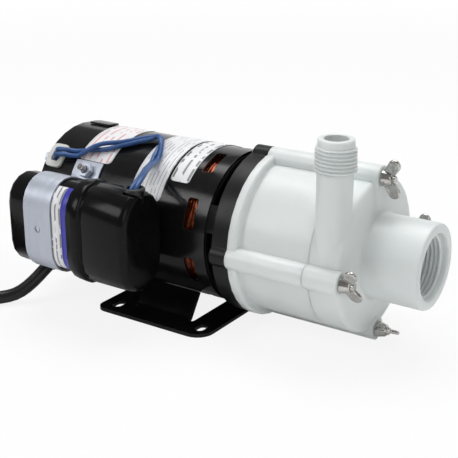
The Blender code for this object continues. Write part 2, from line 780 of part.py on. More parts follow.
def stator_core():
    """Laminated stack with semi-closed winding slots."""
    outer = SHELL_RADIUS - SHELL_WALL - GAP
    core = add("stator_core", moved(rod(STATOR_REAR_X, STATOR_FRONT_X, outer, ROUND), on_axis()), LAMINATION)
    bore = prism(stator_outline(0.0008, STATOR_BORE_RADIUS), STATOR_REAR_X - 0.002, STATOR_FRONT_X + 0.002)
    tools = [moved(bore, on_axis() @ along_x())]
    for _, y, z in tie_bolt_places():
        hole = rod(STATOR_REAR_X - 0.002, STATOR_FRONT_X + 0.002, TIE_BOLT_RADIUS + GAP, 12)
        tools.append(moved(hole, beside_axis(y, z)))
    cut(core, merged(tools))
    return core


def end_turn(rear, front):
    """A bundle of end turns, with lobes that clear the tie bolts."""
    edge = 0.0030
    profile = [
        (rear, WINDING_INNER_RADIUS + edge),
        (rear, WINDING_OUTER_RADIUS - edge),
        (rear + edge, WINDING_OUTER_RADIUS),
        (front - edge, WINDING_OUTER_RADIUS),
        (front, WINDING_OUTER_RADIUS - edge),
        (front, WINDING_INNER_RADIUS + edge),
        (front - edge, WINDING_INNER_RADIUS),
        (rear + edge, WINDING_INNER_RADIUS),
    ]
    bm = turned(profile, 24)
    middle = (WINDING_INNER_RADIUS + WINDING_OUTER_RADIUS) / 2
    for vert in bm.verts:
        radius = math.hypot(vert.co.y, vert.co.z)
        if radius > middle:
            turn = math.atan2(vert.co.z, vert.co.y)
            scale = 1 - WINDING_LOBE * math.cos(8 * turn) / radius
            vert.co.y *= scale
            vert.co.z *= scale
    return bm


def stator_winding():
    """Copper winding: two lobed end bundles joined by the coil sides that lie in the stator's slots."""
    rear = end_turn(WINDING_REAR_X, STATOR_REAR_X - GAP)
    winding = add("stator_winding", moved(rear, on_axis()), COPPER)
    join(winding, moved(end_turn(STATOR_FRONT_X + GAP, WINDING_FRONT_X), on_axis()))
    pitch = math.tau / STATOR_SLOTS
    bars = []
    low = WINDING_INNER_RADIUS + 0.0010
    high = STATOR_SLOT_TOP_RADIUS - GAP
    for i in range(STATOR_SLOTS):
        turn = i * pitch
        foot = pitch * 0.26 - GAP / low
        head = pitch * 0.26 - GAP / high
        outline = [
            (low * math.cos(turn - foot), low * math.sin(turn - foot)),
            (high * math.cos(turn - head), high * math.sin(turn - head)),
            (high * math.cos(turn + head), high * math.sin(turn + head)),
            (low * math.cos(turn + foot), low * math.sin(turn + foot)),
        ]
        bar = prism(outline, STATOR_REAR_X - 0.0050, STATOR_FRONT_X + 0.0050)
        bars.append(moved(bar, on_axis() @ along_x()))
    join(winding, merged(bars))
    return winding


def bearing(name, rear):
    inner = SHAFT_RADIUS + GAP
    groove = 0.0006
    race = inner + BEARING_WALL
    outer = BEARING_RADIUS - BEARING_WALL
    front = rear + BEARING_WIDTH - 2 * GAP
    profile = [
        (rear, inner),
        (rear, race),
        (rear + groove, race),
        (rear + groove, outer),
        (rear, outer),
        (rear, BEARING_RADIUS),
        (front, BEARING_RADIUS),
        (front, outer),
        (front - groove, outer),
        (front - groove, race),
        (front, race),
        (front, inner),
    ]
    return add(name, moved(turned(profile, 20), on_axis()), STAINLESS)


def tie_bolts():
    head_rear = SHELL_REAR_X - BELL_WALL - 2 * GAP - TIE_BOLT_HEAD_HEIGHT
    for i, y, z in tie_bolt_places():
        head = prism(arc((0, 0), TIE_BOLT_HEAD_RADIUS, 0, math.tau * 5 / 6, 5), 0.0, TIE_BOLT_HEAD_HEIGHT)
        place = beside_axis(y, z)
        shank = rod(head_rear + TIE_BOLT_HEAD_HEIGHT / 2, BRACKET_REAR_X + 0.0020, TIE_BOLT_RADIUS, 10)
        bolt = add(f"tie_bolt_{i + 1}", moved(shank, place), ZINC)
        join(bolt, moved(head, place @ Matrix.Translation((head_rear, 0, 0)) @ along_x()))


def moving_frame(name, place):
    """An empty on a joint's axis, which carries the pieces that turn about it."""
    made = bpy.data.objects.new(name, None)
    bpy.context.scene.collection.objects.link(made)
    made.location = place
    return made


def carried(piece, carrier):
    piece.parent = carrier
    return piece


def rotor(carrier):
    shaft = rod(SHAFT_REAR_X + GAP, SHAFT_FRONT_X, SHAFT_RADIUS, 32)
    carried(add("motor_shaft", shaft, STAINLESS), carrier)
    bore = SHAFT_RADIUS + GAP
    outer = STATOR_BORE_RADIUS - AIR_GAP
    end_ring = 0.0040
    profile = [
        (STATOR_REAR_X - end_ring, bore + 0.0080),
        (STATOR_REAR_X - end_ring, outer - 0.0006),
        (STATOR_REAR_X, outer - 0.0006),
        (STATOR_REAR_X, outer),
        (STATOR_FRONT_X, outer),
        (STATOR_FRONT_X, outer - 0.0006),
        (STATOR_FRONT_X + end_ring, outer - 0.0006),
        (STATOR_FRONT_X + end_ring, bore + 0.0080),
        (STATOR_FRONT_X, bore + 0.0080),
        (STATOR_FRONT_X, bore),
        (STATOR_REAR_X, bore),
        (STATOR_REAR_X, bore + 0.0080),
    ]
    carried(add("rotor_core", turned(profile, 24), LAMINATION), carrier)
    cooling_fan(carrier)
    profile = [
        (FAN_BLADE_FRONT_X + 2 * GAP, bore),
        (FAN_BLADE_FRONT_X + 2 * GAP, DRIVE_HUB_RADIUS),
        (DRIVE_CUP_REAR_X, DRIVE_HUB_RADIUS),
        (DRIVE_CUP_REAR_X, DRIVE_CUP_RADIUS - 0.0010),
        (DRIVE_CUP_REAR_X + 0.0010, DRIVE_CUP_RADIUS),
        (DRIVE_CUP_FRONT_X, DRIVE_CUP_RADIUS),
        (DRIVE_CUP_FRONT_X, DRIVE_CUP_RADIUS - DRIVE_CUP_WALL),
        (DRIVE_CUP_REAR_X + DRIVE_CUP_WALL, DRIVE_CUP_RADIUS - DRIVE_CUP_WALL),
        (DRIVE_CUP_REAR_X + DRIVE_CUP_WALL, DRIVE_HUB_RADIUS),
        (SHAFT_FRONT_X - 0.0005, DRIVE_HUB_RADIUS),
        (SHAFT_FRONT_X - 0.0005, bore),
    ]
    carried(add("drive_cup", turned(profile, 28), ZINC), carrier)
    magnet = ring(
        DRIVE_MAGNET_REAR_X,
        DRIVE_MAGNET_FRONT_X,
        DRIVE_MAGNET_INNER_RADIUS,
        DRIVE_CUP_RADIUS - DRIVE_CUP_WALL - GAP,
        28,
    )
    carried(add("drive_magnet", magnet, FERRITE), carrier)


def cooling_fan(carrier):
    """Radial fan: a disc with straight blades that throw air out between the bracket's spokes."""
    bore = SHAFT_RADIUS + GAP
    disc = 0.0012
    hub = bore + 0.0040
    profile = [
        (FAN_REAR_X, bore),
        (FAN_REAR_X, FAN_RADIUS),
        (FAN_REAR_X + disc, FAN_RADIUS),
        (FAN_REAR_X + disc, hub),
        (FAN_BLADE_FRONT_X, hub),
        (FAN_BLADE_FRONT_X, bore),
    ]
    fan = carried(add("cooling_fan", turned(profile, 40), BLACK_PLASTIC), carrier)
    blades = []
    for i in range(FAN_BLADES):
        turn = Matrix.Rotation(i * math.tau / FAN_BLADES, 4, "X")
        outline = [
            (hub * 1.6, -0.0007),
            (FAN_RADIUS - 0.0005, -0.0007),
            (FAN_RADIUS - 0.0005, 0.0007),
            (hub * 1.6, 0.0007),
        ]
        blade = prism(outline, FAN_REAR_X + disc / 2, FAN_BLADE_FRONT_X - 0.0005)
        blades.append(moved(blade, turn @ along_x()))
    tool = join(fan, merged(blades))
    carried(tool, carrier)


def rear_housing():
    """Moulded half of the head: rim, wall, re-entrant can for the impeller's magnet, and the bolt bosses."""
    inner = HEAD_RADIUS - HEAD_WALL
    plate_rear = HEAD_JOINT_X - 0.0045
    can_inner = CAN_RADIUS - CAN_WALL
    can_floor = CAN_END_X + CAN_END_THICKNESS
    boss_top = can_floor + SPINDLE_BOSS_LENGTH
    seat = SPINDLE_RADIUS + GAP
    profile = [
        (CAN_END_X, 0.0),
        (CAN_END_X, CAN_RADIUS - 0.0030),
        (CAN_END_X + 0.0030, CAN_RADIUS),
        (plate_rear - 0.0015, CAN_RADIUS),
        (plate_rear, CAN_RADIUS + 0.0015),
        (plate_rear, inner - 0.0015),
        (plate_rear - 0.0015, inner),
        (HEAD_REAR_X, inner),
        (HEAD_REAR_X, RIM_RADIUS),
        (HEAD_REAR_X + RIM_THICKNESS - 0.0008, RIM_RADIUS),
        (HEAD_REAR_X + RIM_THICKNESS, RIM_RADIUS - 0.0009),
        (HEAD_REAR_X + RIM_THICKNESS, HEAD_RADIUS + 0.0010),
        (HEAD_REAR_X + RIM_THICKNESS + 0.0010, HEAD_RADIUS),
        (HEAD_JOINT_X, HEAD_RADIUS),
        (HEAD_JOINT_X, can_inner + 0.0010),
        (HEAD_JOINT_X - 0.0010, can_inner),
        (can_floor, can_inner),
        (can_floor, SPINDLE_BOSS_RADIUS),
        (boss_top, SPINDLE_BOSS_RADIUS),
        (boss_top, seat),
        (CAN_END_X + SPINDLE_SEAT_DEPTH, seat),
        (CAN_END_X + SPINDLE_SEAT_DEPTH, 0.0),
    ]
    housing = add("rear_housing", moved(turned(profile, closed=False), on_axis()), WHITE_PLASTIC)
    bosses = []
    holes = []
    for _, y, z in bolt_places():
        bosses.append(moved(rod(HEAD_REAR_X, HEAD_JOINT_X, BOSS_RADIUS), beside_axis(y, z)))
        hole = rod(HEAD_REAR_X - 0.002, HEAD_JOINT_X + 0.002, STUD_RADIUS + GAP, 16)
        holes.append(moved(hole, beside_axis(y, z)))
    join(housing, merged(bosses))
    groove = O_RING_CORD + GAP
    channel = ring(
        HEAD_JOINT_X - 2 * groove + GAP,
        HEAD_JOINT_X + 0.002,
        O_RING_RADIUS - groove,
        O_RING_RADIUS + groove,
        SHELL_ROUND,
    )
    cut(housing, merged(holes))
    cut(housing, moved(channel, on_axis()))
    return housing


def volute_outside():
    """(x, radius) points of the turned outside of the volute, from the joint forward."""
    rear = HEAD_JOINT_X + GAP
    fillet_top = INLET_RADIUS + INLET_FILLET
    slope = math.atan2(FACE_END_X - VOLUTE_EDGE_X, VOLUTE_EDGE_RADIUS - fillet_top)
    edge = arc(
        (VOLUTE_EDGE_X - VOLUTE_EDGE_ROUND, HEAD_RADIUS - VOLUTE_EDGE_ROUND),
        VOLUTE_EDGE_ROUND,
        math.pi / 2,
        slope,
        3,
    )
    lip = arc(
        (INLET_FACE_X - INLET_LIP_ROUND, INLET_RADIUS - INLET_LIP_ROUND),
        INLET_LIP_ROUND,
        math.pi / 2,
        0.0,
        2,
    )
    fillet = arc((FACE_END_X + INLET_FILLET, fillet_top), INLET_FILLET, math.pi, math.pi * 1.5, 2)
    return [
        (rear, 0.0),
        (rear, HEAD_RADIUS),
        *edge,
        *fillet,
        *lip,
        (INLET_FACE_X, 0.0),
    ]


def volute_inside():
    """(x, radius) points of the impeller chamber, the eye and the threaded socket."""
    recess = INLET_FACE_X - INLET_RECESS_DEPTH
    root = INLET_THREAD_RADIUS - INLET_THREAD_DEPTH
    thread = []
    for i in range(INLET_THREAD_TURNS):
        x = recess - i * INLET_THREAD_PITCH
        thread += [
            (x - INLET_THREAD_PITCH * 0.10, root),
            (x - INLET_THREAD_PITCH * 0.60, INLET_THREAD_RADIUS),
        ]
    return [
        (HEAD_JOINT_X - 0.010, 0.0),
        (HEAD_JOINT_X - 0.010, CHAMBER_RADIUS),
        (CHAMBER_FRONT_X, CHAMBER_RADIUS),
        (CHAMBER_FRONT_X + 0.0010, CHAMBER_RADIUS - 0.0012),
        (EYE_REAR_X - 0.0025, EYE_RADIUS + 0.0035),
        (EYE_REAR_X, EYE_RADIUS),
        (SOCKET_FLOOR_X, EYE_RADIUS),
        (SOCKET_FLOOR_X, root),
        *thread[::-1],
        (recess, root),
        (recess, INLET_RECESS_RADIUS),
        (INLET_FACE_X - 0.0006, INLET_RECESS_RADIUS),
        (INLET_FACE_X + 0.0006, INLET_RECESS_RADIUS + 0.0012),
        (INLET_FACE_X + 0.0006, 0.0),
    ]


def outlet_profile():
    """(height, radius) points down the outside of the outlet pipe, with its thread's crests."""
    top = OUTLET_TOP_Z
    points = [(top, 0.0), (top, OUTLET_RADIUS - 0.0010), (top - 0.0008, OUTLET_RADIUS)]
    for i in range(OUTLET_THREAD_TURNS):
        z = top - OUTLET_LEAD - i * OUTLET_THREAD_PITCH
        crest = OUTLET_THREAD_RADIUS + i * OUTLET_THREAD_TAPER
        root = crest - OUTLET_THREAD_DEPTH
        points += [
            (z + OUTLET_THREAD_PITCH * 0.50, root),
            (z + OUTLET_THREAD_PITCH * 0.12, crest),
            (z - OUTLET_THREAD_PITCH * 0.12, crest),
        ]
    end = top - OUTLET_LEAD - (OUTLET_THREAD_TURNS - 0.5) * OUTLET_THREAD_PITCH
    points += [(end - 0.0002, OUTLET_RADIUS), (OUTLET_FOOT_Z, OUTLET_RADIUS), (OUTLET_FOOT_Z, 0.0)]
    return points


def upright(x, y):
    """Turns a solid about X into one about Z, at a place in plan. Its x becomes height."""
    return Matrix.Translation((x, y, 0)) @ Matrix(((0, 0, -1, 0), (0, 1, 0, 0), (1, 0, 0, 0), (0, 0, 0, 1)))


def volute():
    """Front half of the head, with the impeller chamber, threaded inlet and outlet, and spindle spider."""
    outside = turned(volute_outside(), VOLUTE_ROUND, closed=False)
    made = add("volute", moved(outside, on_axis()), WHITE_PLASTIC)
    rear = HEAD_JOINT_X + GAP
    pipe = moved(turned(outlet_profile(), OUTLET_ROUND, closed=False), upright(OUTLET_X, OUTLET_Y))
    bosses = [
        moved(rod(rear, BOSS_FRONT_X, BOSS_RADIUS), beside_axis(y, z)) for _, y, z in bolt_places()
    ]
    foot = join(made, pipe)
    cut(foot, moved(rod(rear - 0.020, rear, HEAD_RADIUS + GAP, VOLUTE_ROUND), on_axis()))
    join(made, merged(bosses))
    bore = rod(OUTLET_BORE_FOOT_Z, OUTLET_TOP_Z + 0.001, OUTLET_BORE_RADIUS, SMALL_ROUND)
    cut(made, moved(bore, upright(OUTLET_X, OUTLET_Y)))
    cut(made, moved(turned(volute_inside(), VOLUTE_ROUND, closed=False), on_axis()))
    holes = []
    for _, y, z in bolt_places():
        hole = rod(rear - 0.002, BOSS_FRONT_X + 0.002, STUD_RADIUS + GAP, 12)
        holes.append(moved(hole, beside_axis(y, z)))
    cut(made, merged(holes))
    spider(made)
    return made


def spider(made):
    """Three arms across the inlet, and the hub that holds the spindle's front end."""
    nose = SPIDER_ARM_X + SPIDER_ARM_LENGTH / 2
    seat = SPINDLE_RADIUS + GAP
    bottom = SPIDER_ARM_X
    hub = [
        (SPIDER_HUB_REAR_X, seat),
        (SPIDER_HUB_REAR_X, SPIDER_HUB_RADIUS),
        (nose - 0.0010, SPIDER_HUB_RADIUS),
        (nose + 0.0010, SPIDER_HUB_RADIUS * 0.6),
        (nose + 0.0015, 0.0),
        (bottom, 0.0),
        (bottom, seat),
    ]
    join(made, moved(turned(hub, SMALL_ROUND, closed=True), on_axis()))
    arms = []
    for i in range(SPIDER_ARMS):
        half = SPIDER_ARM_THICKNESS / 2
        outline = [
            (-SPIDER_ARM_LENGTH / 2, -half),
            (SPIDER_ARM_LENGTH / 2, -half),
            (SPIDER_ARM_LENGTH / 2, half),
            (-SPIDER_ARM_LENGTH / 2, half),
        ]
        arm = prism(outline, SPIDER_HUB_RADIUS * 0.8, EYE_RADIUS + 0.0010)
        arms.append(moved(arm, outwards(math.radians(90 + 120 * i), SPIDER_ARM_X)))
    join(made, merged(arms))


def spindle_parts():
    rear = CAN_END_X + SPINDLE_SEAT_DEPTH + GAP
    front = SPIDER_ARM_X - GAP
    add("spindle", moved(rod(rear, front, SPINDLE_RADIUS), on_axis()), CERAMIC)
    bore = SPINDLE_RADIUS + GAP
    place = CAN_END_X + CAN_END_THICKNESS + SPINDLE_BOSS_LENGTH + GAP
    washer = ring(place, place + WASHER_THICKNESS, bore, SPINDLE_BOSS_RADIUS, SMALL_ROUND)
    add("rear_thrust_washer", moved(washer, on_axis()), CERAMIC)
    place = SPIDER_HUB_REAR_X - GAP - WASHER_THICKNESS
    washer = ring(place, place + WASHER_THICKNESS, bore, SPINDLE_BOSS_RADIUS, SMALL_ROUND)
    add("front_thrust_washer", moved(washer, on_axis()), CERAMIC)
    circle = arc((HEAD_JOINT_X - O_RING_CORD + GAP / 2, O_RING_RADIUS), O_RING_CORD, 0, math.tau * 5 / 6, 5)
    add("o_ring", moved(turned(circle, 28), on_axis()), RUBBER)


def impeller_parts(carrier):
    """Impeller with its magnet case, magnet, cap and carbon bushing."""
    bore = SPINDLE_RADIUS + GAP
    rear = CAN_END_X + CAN_END_THICKNESS + SPINDLE_BOSS_LENGTH + 2 * GAP + WASHER_THICKNESS
    front = SPIDER_HUB_REAR_X - 2 * GAP - WASHER_THICKNESS
    sleeve = bore + BUSHING_WALL
    carried(add("impeller_bushing", ring(rear, front, bore, sleeve, SMALL_ROUND), CARBON), carrier)
    case_inner = MAGNET_CASE_RADIUS - MAGNET_CASE_WALL
    disc_front = IMPELLER_REAR_X + IMPELLER_DISC
    tube_inner = sleeve + GAP
    profile = [
        (rear, tube_inner),
        (rear, HUB_TUBE_RADIUS),
        (MAGNET_CASE_FRONT_X, HUB_TUBE_RADIUS),
        (MAGNET_CASE_FRONT_X, case_inner),
        (rear, case_inner),
        (rear, MAGNET_CASE_RADIUS),
        (IMPELLER_REAR_X, MAGNET_CASE_RADIUS),
        (IMPELLER_REAR_X, IMPELLER_RADIUS),
        (disc_front, IMPELLER_RADIUS),
        (disc_front, HUB_TUBE_RADIUS + 0.0015),
        (disc_front + 0.0015, HUB_TUBE_RADIUS),
        (front, HUB_TUBE_RADIUS - 0.0010),
        (front, tube_inner),
    ]
    impeller = carried(add("impeller", turned(profile, 28), WHITE_PLASTIC), carrier)
    vanes = [impeller_vane(i * math.tau / IMPELLER_VANES) for i in range(IMPELLER_VANES)]
    carried(join(impeller, merged(vanes)), carrier)
    magnet_rear = rear + MAGNET_CAP_THICKNESS + GAP
    magnet = ring(
        magnet_rear, MAGNET_CASE_FRONT_X - GAP, HUB_TUBE_RADIUS + GAP, case_inner - GAP, 28
    )
    carried(add("driven_magnet", magnet, FERRITE), carrier)
    cap = ring(rear, rear + MAGNET_CAP_THICKNESS, HUB_TUBE_RADIUS + GAP, case_inner - GAP, 28)
    carried(add("magnet_cap", cap, WHITE_PLASTIC), carrier)


def impeller_vane(turn):
    """A backward-curved vane on the impeller's disc."""
    steps = 6
    sweep = math.radians(55)
    near = []
    far = []
    for i in range(steps + 1):
        share = i / steps
        radius = VANE_INNER_RADIUS + (IMPELLER_RADIUS - 0.0006 - VANE_INNER_RADIUS) * share
        angle = turn - sweep * share
        half = VANE_THICKNESS / 2 / radius
        near.append((radius * math.cos(angle - half), radius * math.sin(angle - half)))
        far.append((radius * math.cos(angle + half), radius * math.sin(angle + half)))
    vane = prism(near + far[::-1], IMPELLER_REAR_X + IMPELLER_DISC / 2, IMPELLER_FRONT_X)
    return moved(vane, along_x())


def head_fasteners():
    for i, y, z in bolt_places():
        place = beside_axis(y, z)
        add(f"housing_stud_{i + 1}", moved(rod(STUD_REAR_X, STUD_FRONT_X, STUD_RADIUS, 12), place), STAINLESS)
        wing_nut(i, y, z)


def wing_nut(i, y, z):
    """Cold-formed wing nut: a tapered boss with two rounded wings that splay forward."""
    face = BOSS_FRONT_X + GAP
    carrier = moving_frame(f"wing_nut_axis_{i + 1}", (face, y, AXIS_HEIGHT + z))
    carrier.rotation_euler = (math.radians(WING_TURNS[i]), 0.0, 0.0)
    profile = [
        (0.0, 0.0),
        (0.0, NUT_BASE_RADIUS),
        (0.0008, NUT_BASE_RADIUS),
        (NUT_HEIGHT, NUT_TOP_RADIUS),
        (NUT_HEIGHT, 0.0),
    ]
    nut = carried(add(f"wing_nut_{i + 1}", turned(profile, SMALL_ROUND, closed=False), STAINLESS), carrier)
    half = WING_WIDTH / 2
    tip = (WING_REACH - half, WING_FRONT - half)
    head = arc(tip, half, math.radians(-80), math.radians(140), 7)
    outline = [(0.0012, NUT_HEIGHT * 0.30), *head, (0.0012, NUT_HEIGHT * 0.95)]
    wings = []
    for side in (-1, 1):
        mirrored = [(v, side * u) for u, v in outline]
        wings.append(prism(mirrored, -WING_THICKNESS / 2, WING_THICKNESS / 2))
    carried(join(nut, merged(wings)), carrier)
    bore = rod(-0.001, NUT_HEIGHT + 0.008, STUD_RADIUS + GAP, 16)
    carried(cut(nut, bore), carrier)


def capacitor():
    """Oval can with a rounded rear edge, and its two terminals."""
    rings = []
    for i in range(5):
        turn = math.pi / 2 * i / 4
        inset = CAPACITOR_ROUND * (1 - math.sin(turn))
        x = CAPACITOR_REAR_X + CAPACITOR_ROUND * (1 - math.cos(turn))
        rings.append(stadium(CAPACITOR_HALF_WIDTH - inset, CAPACITOR_HALF_HEIGHT - inset, x))
    rings.append(stadium(CAPACITOR_HALF_WIDTH, CAPACITOR_HALF_HEIGHT, CAPACITOR_FRONT_X))
    loft(rings, "run_capacitor", BLACK_PLASTIC)
    for name, z in (("capacitor_terminal_1", TERMINAL_SPREAD), ("capacitor_terminal_2", -TERMINAL_SPREAD)):
        half = TERMINAL_THICKNESS / 2
        outline = rounded_rectangle(
            CAPACITOR_FRONT_X + GAP,
            CAPACITOR_FRONT_X + GAP + TERMINAL_LENGTH,
            CAPACITOR_Y - half,
            CAPACITOR_Y + half,
            (half * 0.5,) * 4,
            1,
        )
        low = CAPACITOR_Z + z - TERMINAL_WIDTH / 2
        add(name, prism(outline, low, low + TERMINAL_WIDTH), BRASS)


def capacitor_boot():
    """Moulded boot over the capacitor's terminals, with a thick lip and a hole for the leads."""
    inner_width = CAPACITOR_HALF_WIDTH + GAP
    inner_height = CAPACITOR_HALF_HEIGHT + GAP
    width = inner_width + BOOT_WALL
    height = inner_height + BOOT_WALL
    floor = BOOT_FRONT_X - BOOT_WALL
    lip_end = BOOT_REAR_X + BOOT_LIP_LENGTH
    rings = [
        stadium(inner_width, inner_height, floor),
        stadium(inner_width, inner_height, BOOT_REAR_X),
        stadium(width + BOOT_LIP - 0.0007, height + BOOT_LIP - 0.0007, BOOT_REAR_X),
        stadium(width + BOOT_LIP, height + BOOT_LIP, BOOT_REAR_X + 0.0007),
        stadium(width + BOOT_LIP, height + BOOT_LIP, lip_end - 0.0007),
        stadium(width + BOOT_LIP - 0.0007, height + BOOT_LIP - 0.0007, lip_end),
        stadium(width - 0.0005, height - 0.0005, lip_end + 0.0004),
        stadium(width - 0.0005, height - 0.0005, lip_end + BOOT_GROOVE),
        stadium(width, height, lip_end + BOOT_GROOVE + 0.0006),
    ]
    for i in range(5):
        turn = math.pi / 2 * i / 4
        inset = BOOT_ROUND * (1 - math.cos(turn))
        x = BOOT_FRONT_X - BOOT_ROUND * (1 - math.sin(turn))
        rings.append(stadium(width - inset, height - inset, x))
    boot = loft(rings, "capacitor_boot", BLACK_PLASTIC)
    top = CAPACITOR_Z + height
    hole = moved(rod(top - 0.006, top + 0.004, BOOT_HOLE_RADIUS + GAP, 20), upright(BOOT_HOLE_X, CAPACITOR_Y))
    cut(boot, hole)
    profile = [
        (top - BOOT_WALL - 0.0012, BOOT_HOLE_RADIUS * 0.80),
        (top - BOOT_WALL - 0.0012, BOOT_HOLE_RADIUS),
        (top + GAP, BOOT_HOLE_RADIUS),
        (top + GAP, BOOT_HOLE_RADIUS + 0.0014),
        (top + 0.0014, BOOT_HOLE_RADIUS + 0.0009),
        (top + 0.0018, BOOT_HOLE_RADIUS * 0.90),
        (top + 0.0014, BOOT_HOLE_RADIUS * 0.80),
    ]
    add("boot_grommet", moved(turned(profile[::-1], 20), upright(BOOT_HOLE_X, CAPACITOR_Y)), RUBBER)


def offset_line(points, distance):
    """The open line moved sideways to its left by a distance, point by point."""
    places = [Vector(p) for p in points]
    shifted = []
    for i, place in enumerate(places):
        before = places[max(i - 1, 0)]
        after = places[min(i + 1, len(places) - 1)]
        along = (after - before).normalized()
        shifted.append((place.x - along.y * distance, place.y + along.x * distance))
    return shifted


def strap_line(radius_over_shell, radius_over_can):
    """Middle line of the strap in Y and Z about the shaft: tab on the shell, round the can, and foot."""
    can_z = CAPACITOR_Z - AXIS_HEIGHT
    straight = CAPACITOR_HALF_HEIGHT - CAPACITOR_HALF_WIDTH
    upper = Vector((CAPACITOR_Y, can_z + straight))
    lower = Vector((CAPACITOR_Y, can_z - straight))
    line = arc((0, 0), radius_over_shell, STRAP_TAB_TOP, STRAP_TAB_END, 3)
    start = tangent_angle(Vector(line[-1]), upper, radius_over_can, 1)
    line += arc(upper, radius_over_can, start, math.pi, 7)
    foot = arc((0, 0), radius_over_shell, STRAP_FOOT_START, STRAP_FOOT_END, 3)
    end = tangent_angle(Vector(foot[0]), lower, radius_over_can, -1)
    line += arc(lower, radius_over_can, math.pi, end, 7)
    return line + foot


def tangent_angle(point, centre, radius, side):
    """Angle on a circle where a line from the point touches it."""
    away = point - centre
    spread = math.acos(radius / away.length)
    base = math.atan2(away.y, away.x)
    return (base + side * spread) % math.tau


def capacitor_strap():
    """Zinc strap round the capacitor, bolted to the shell above and below it."""
    half = STRAP_THICKNESS / 2
    middle = strap_line(SHELL_RADIUS + GAP + half, CAPACITOR_HALF_WIDTH + GAP + half)
    outline = offset_line(middle, half) + offset_line(middle, -half)[::-1]
    bm = moved(prism(outline, STRAP_REAR_X, STRAP_REAR_X + STRAP_WIDTH), on_axis() @ along_x())
    strap = add("capacitor_strap", bm, ZINC)
    centre_x = STRAP_REAR_X + STRAP_WIDTH / 2
    hole = prism(arc((0, 0), STRAP_HOLE_RADIUS, 0, math.tau * 15 / 16, 15), 0.0, 0.010)
    side = Matrix.Translation((centre_x, CAPACITOR_Y - 0.010 - CAPACITOR_HALF_WIDTH + 0.004, CAPACITOR_Z))
    tools = [moved(hole, side @ Matrix.Rotation(-math.pi / 2, 4, "X"))]
    for turn in strap_stud_turns():
        hole = prism(arc((0, 0), STRAP_STUD_RADIUS + GAP, 0, math.tau * 15 / 16, 15), 0.0, 0.010)
        tools.append(moved(hole, outwards(turn, STRAP_STUD_X, SHELL_RADIUS - 0.004)))
    cut(strap, merged(tools))
    for i, turn in enumerate(strap_stud_turns()):
        low = SHELL_RADIUS + GAP
        stud = prism(arc((0, 0), STRAP_STUD_RADIUS, 0, math.tau * 11 / 12, 11), low, low + STRAP_STUD_REACH)
        add(f"strap_stud_{i + 1}", moved(stud, outwards(turn, STRAP_STUD_X)), BRASS)
        seat = low + STRAP_THICKNESS + 2 * GAP
        nut = prism(arc((0, 0), STRAP_NUT_RADIUS, 0, math.tau * 5 / 6, 5), seat, seat + STRAP_NUT_HEIGHT)
        made = add(f"strap_nut_{i + 1}", moved(nut, outwards(turn, STRAP_STUD_X)), ZINC)
        bore = prism(
            arc((0, 0), STRAP_STUD_RADIUS + GAP, 0, math.tau * 11 / 12, 11), low, low + STRAP_STUD_REACH
        )
        cut(made, moved(bore, outwards(turn, STRAP_STUD_X)))


def strap_stud_turns():
    return (STRAP_STUD_TOP, (STRAP_FOOT_START + STRAP_FOOT_END) / 2)


def grommet_outline(grow):
    return rounded_rectangle(
        -GROMMET_LENGTH / 2 + GROMMET_LIP - grow,
        GROMMET_LENGTH / 2 - GROMMET_LIP + grow,
        -GROMMET_WIDTH / 2 + GROMMET_LIP - grow,
        GROMMET_WIDTH / 2 - GROMMET_LIP + grow,
        (0.0015,) * 4,
        3,
    )


def lead_grommet():
    """Snap-in frame in the shell, curved with it, that the capacitor leads come out of."""
    place = outwards(GROMMET_TURN, GROMMET_X)
    low = SHELL_RADIUS + GAP
    high = low + GROMMET_HEIGHT
    band = ring(GROMMET_X - GROMMET_LENGTH, GROMMET_X + GROMMET_LENGTH, low, high, SHELL_ROUND)
    frame = add("lead_grommet", moved(band, on_axis()), NYLON)
    outline = rounded_rectangle(
        -GROMMET_LENGTH / 2,
        GROMMET_LENGTH / 2,
        -GROMMET_WIDTH / 2,
        GROMMET_WIDTH / 2,
        (0.0026,) * 4,
        4,
    )
    combine(frame, moved(prism(outline, low - 0.004, high + 0.004), place), "INTERSECT")
    neck = prism(grommet_outline(-GAP), SHELL_RADIUS - SHELL_WALL - 0.0010, low + GROMMET_HEIGHT * 0.3)
    join(frame, moved(neck, place))
    hole = rounded_rectangle(
        -GROMMET_HOLE_LENGTH / 2,
        GROMMET_HOLE_LENGTH / 2,
        -GROMMET_HOLE_WIDTH / 2,
        GROMMET_HOLE_WIDTH / 2,
        (0.0014,) * 4,
        3,
    )
    cut(frame, moved(prism(hole, low - 0.010, high + 0.006), place))
    return frame


def shell_tab():
    """Short steel tab on top of the shell's rear end."""
    low = SHELL_RADIUS + GAP
    tab = ring(
        SHELL_TAB_REAR_X, SHELL_TAB_REAR_X + SHELL_TAB_LENGTH, low, low + SHELL_TAB_THICKNESS, SHELL_ROUND
    )
    made = add("shell_tab", moved(tab, on_axis()), BLACK_PAINT)
    outline = rounded_rectangle(
        -SHELL_TAB_LENGTH,
        SHELL_TAB_LENGTH,
        -SHELL_TAB_WIDTH / 2,
        SHELL_TAB_WIDTH / 2,
        (0.0010,) * 4,
        2,
    )
    keep = moved(prism(outline, low - 0.006, low + 0.006), outwards(SHELL_TAB_TURN, SHELL_TAB_REAR_X))
    combine(made, keep, "INTERSECT")
    return made


def over_shell(x, turn, lift):
    """A point beside the shell, at a lift above its surface."""
    turn = math.radians(turn)
    reach = SHELL_RADIUS + lift
    return (x, reach * math.cos(turn), AXIS_HEIGHT + reach * math.sin(turn))


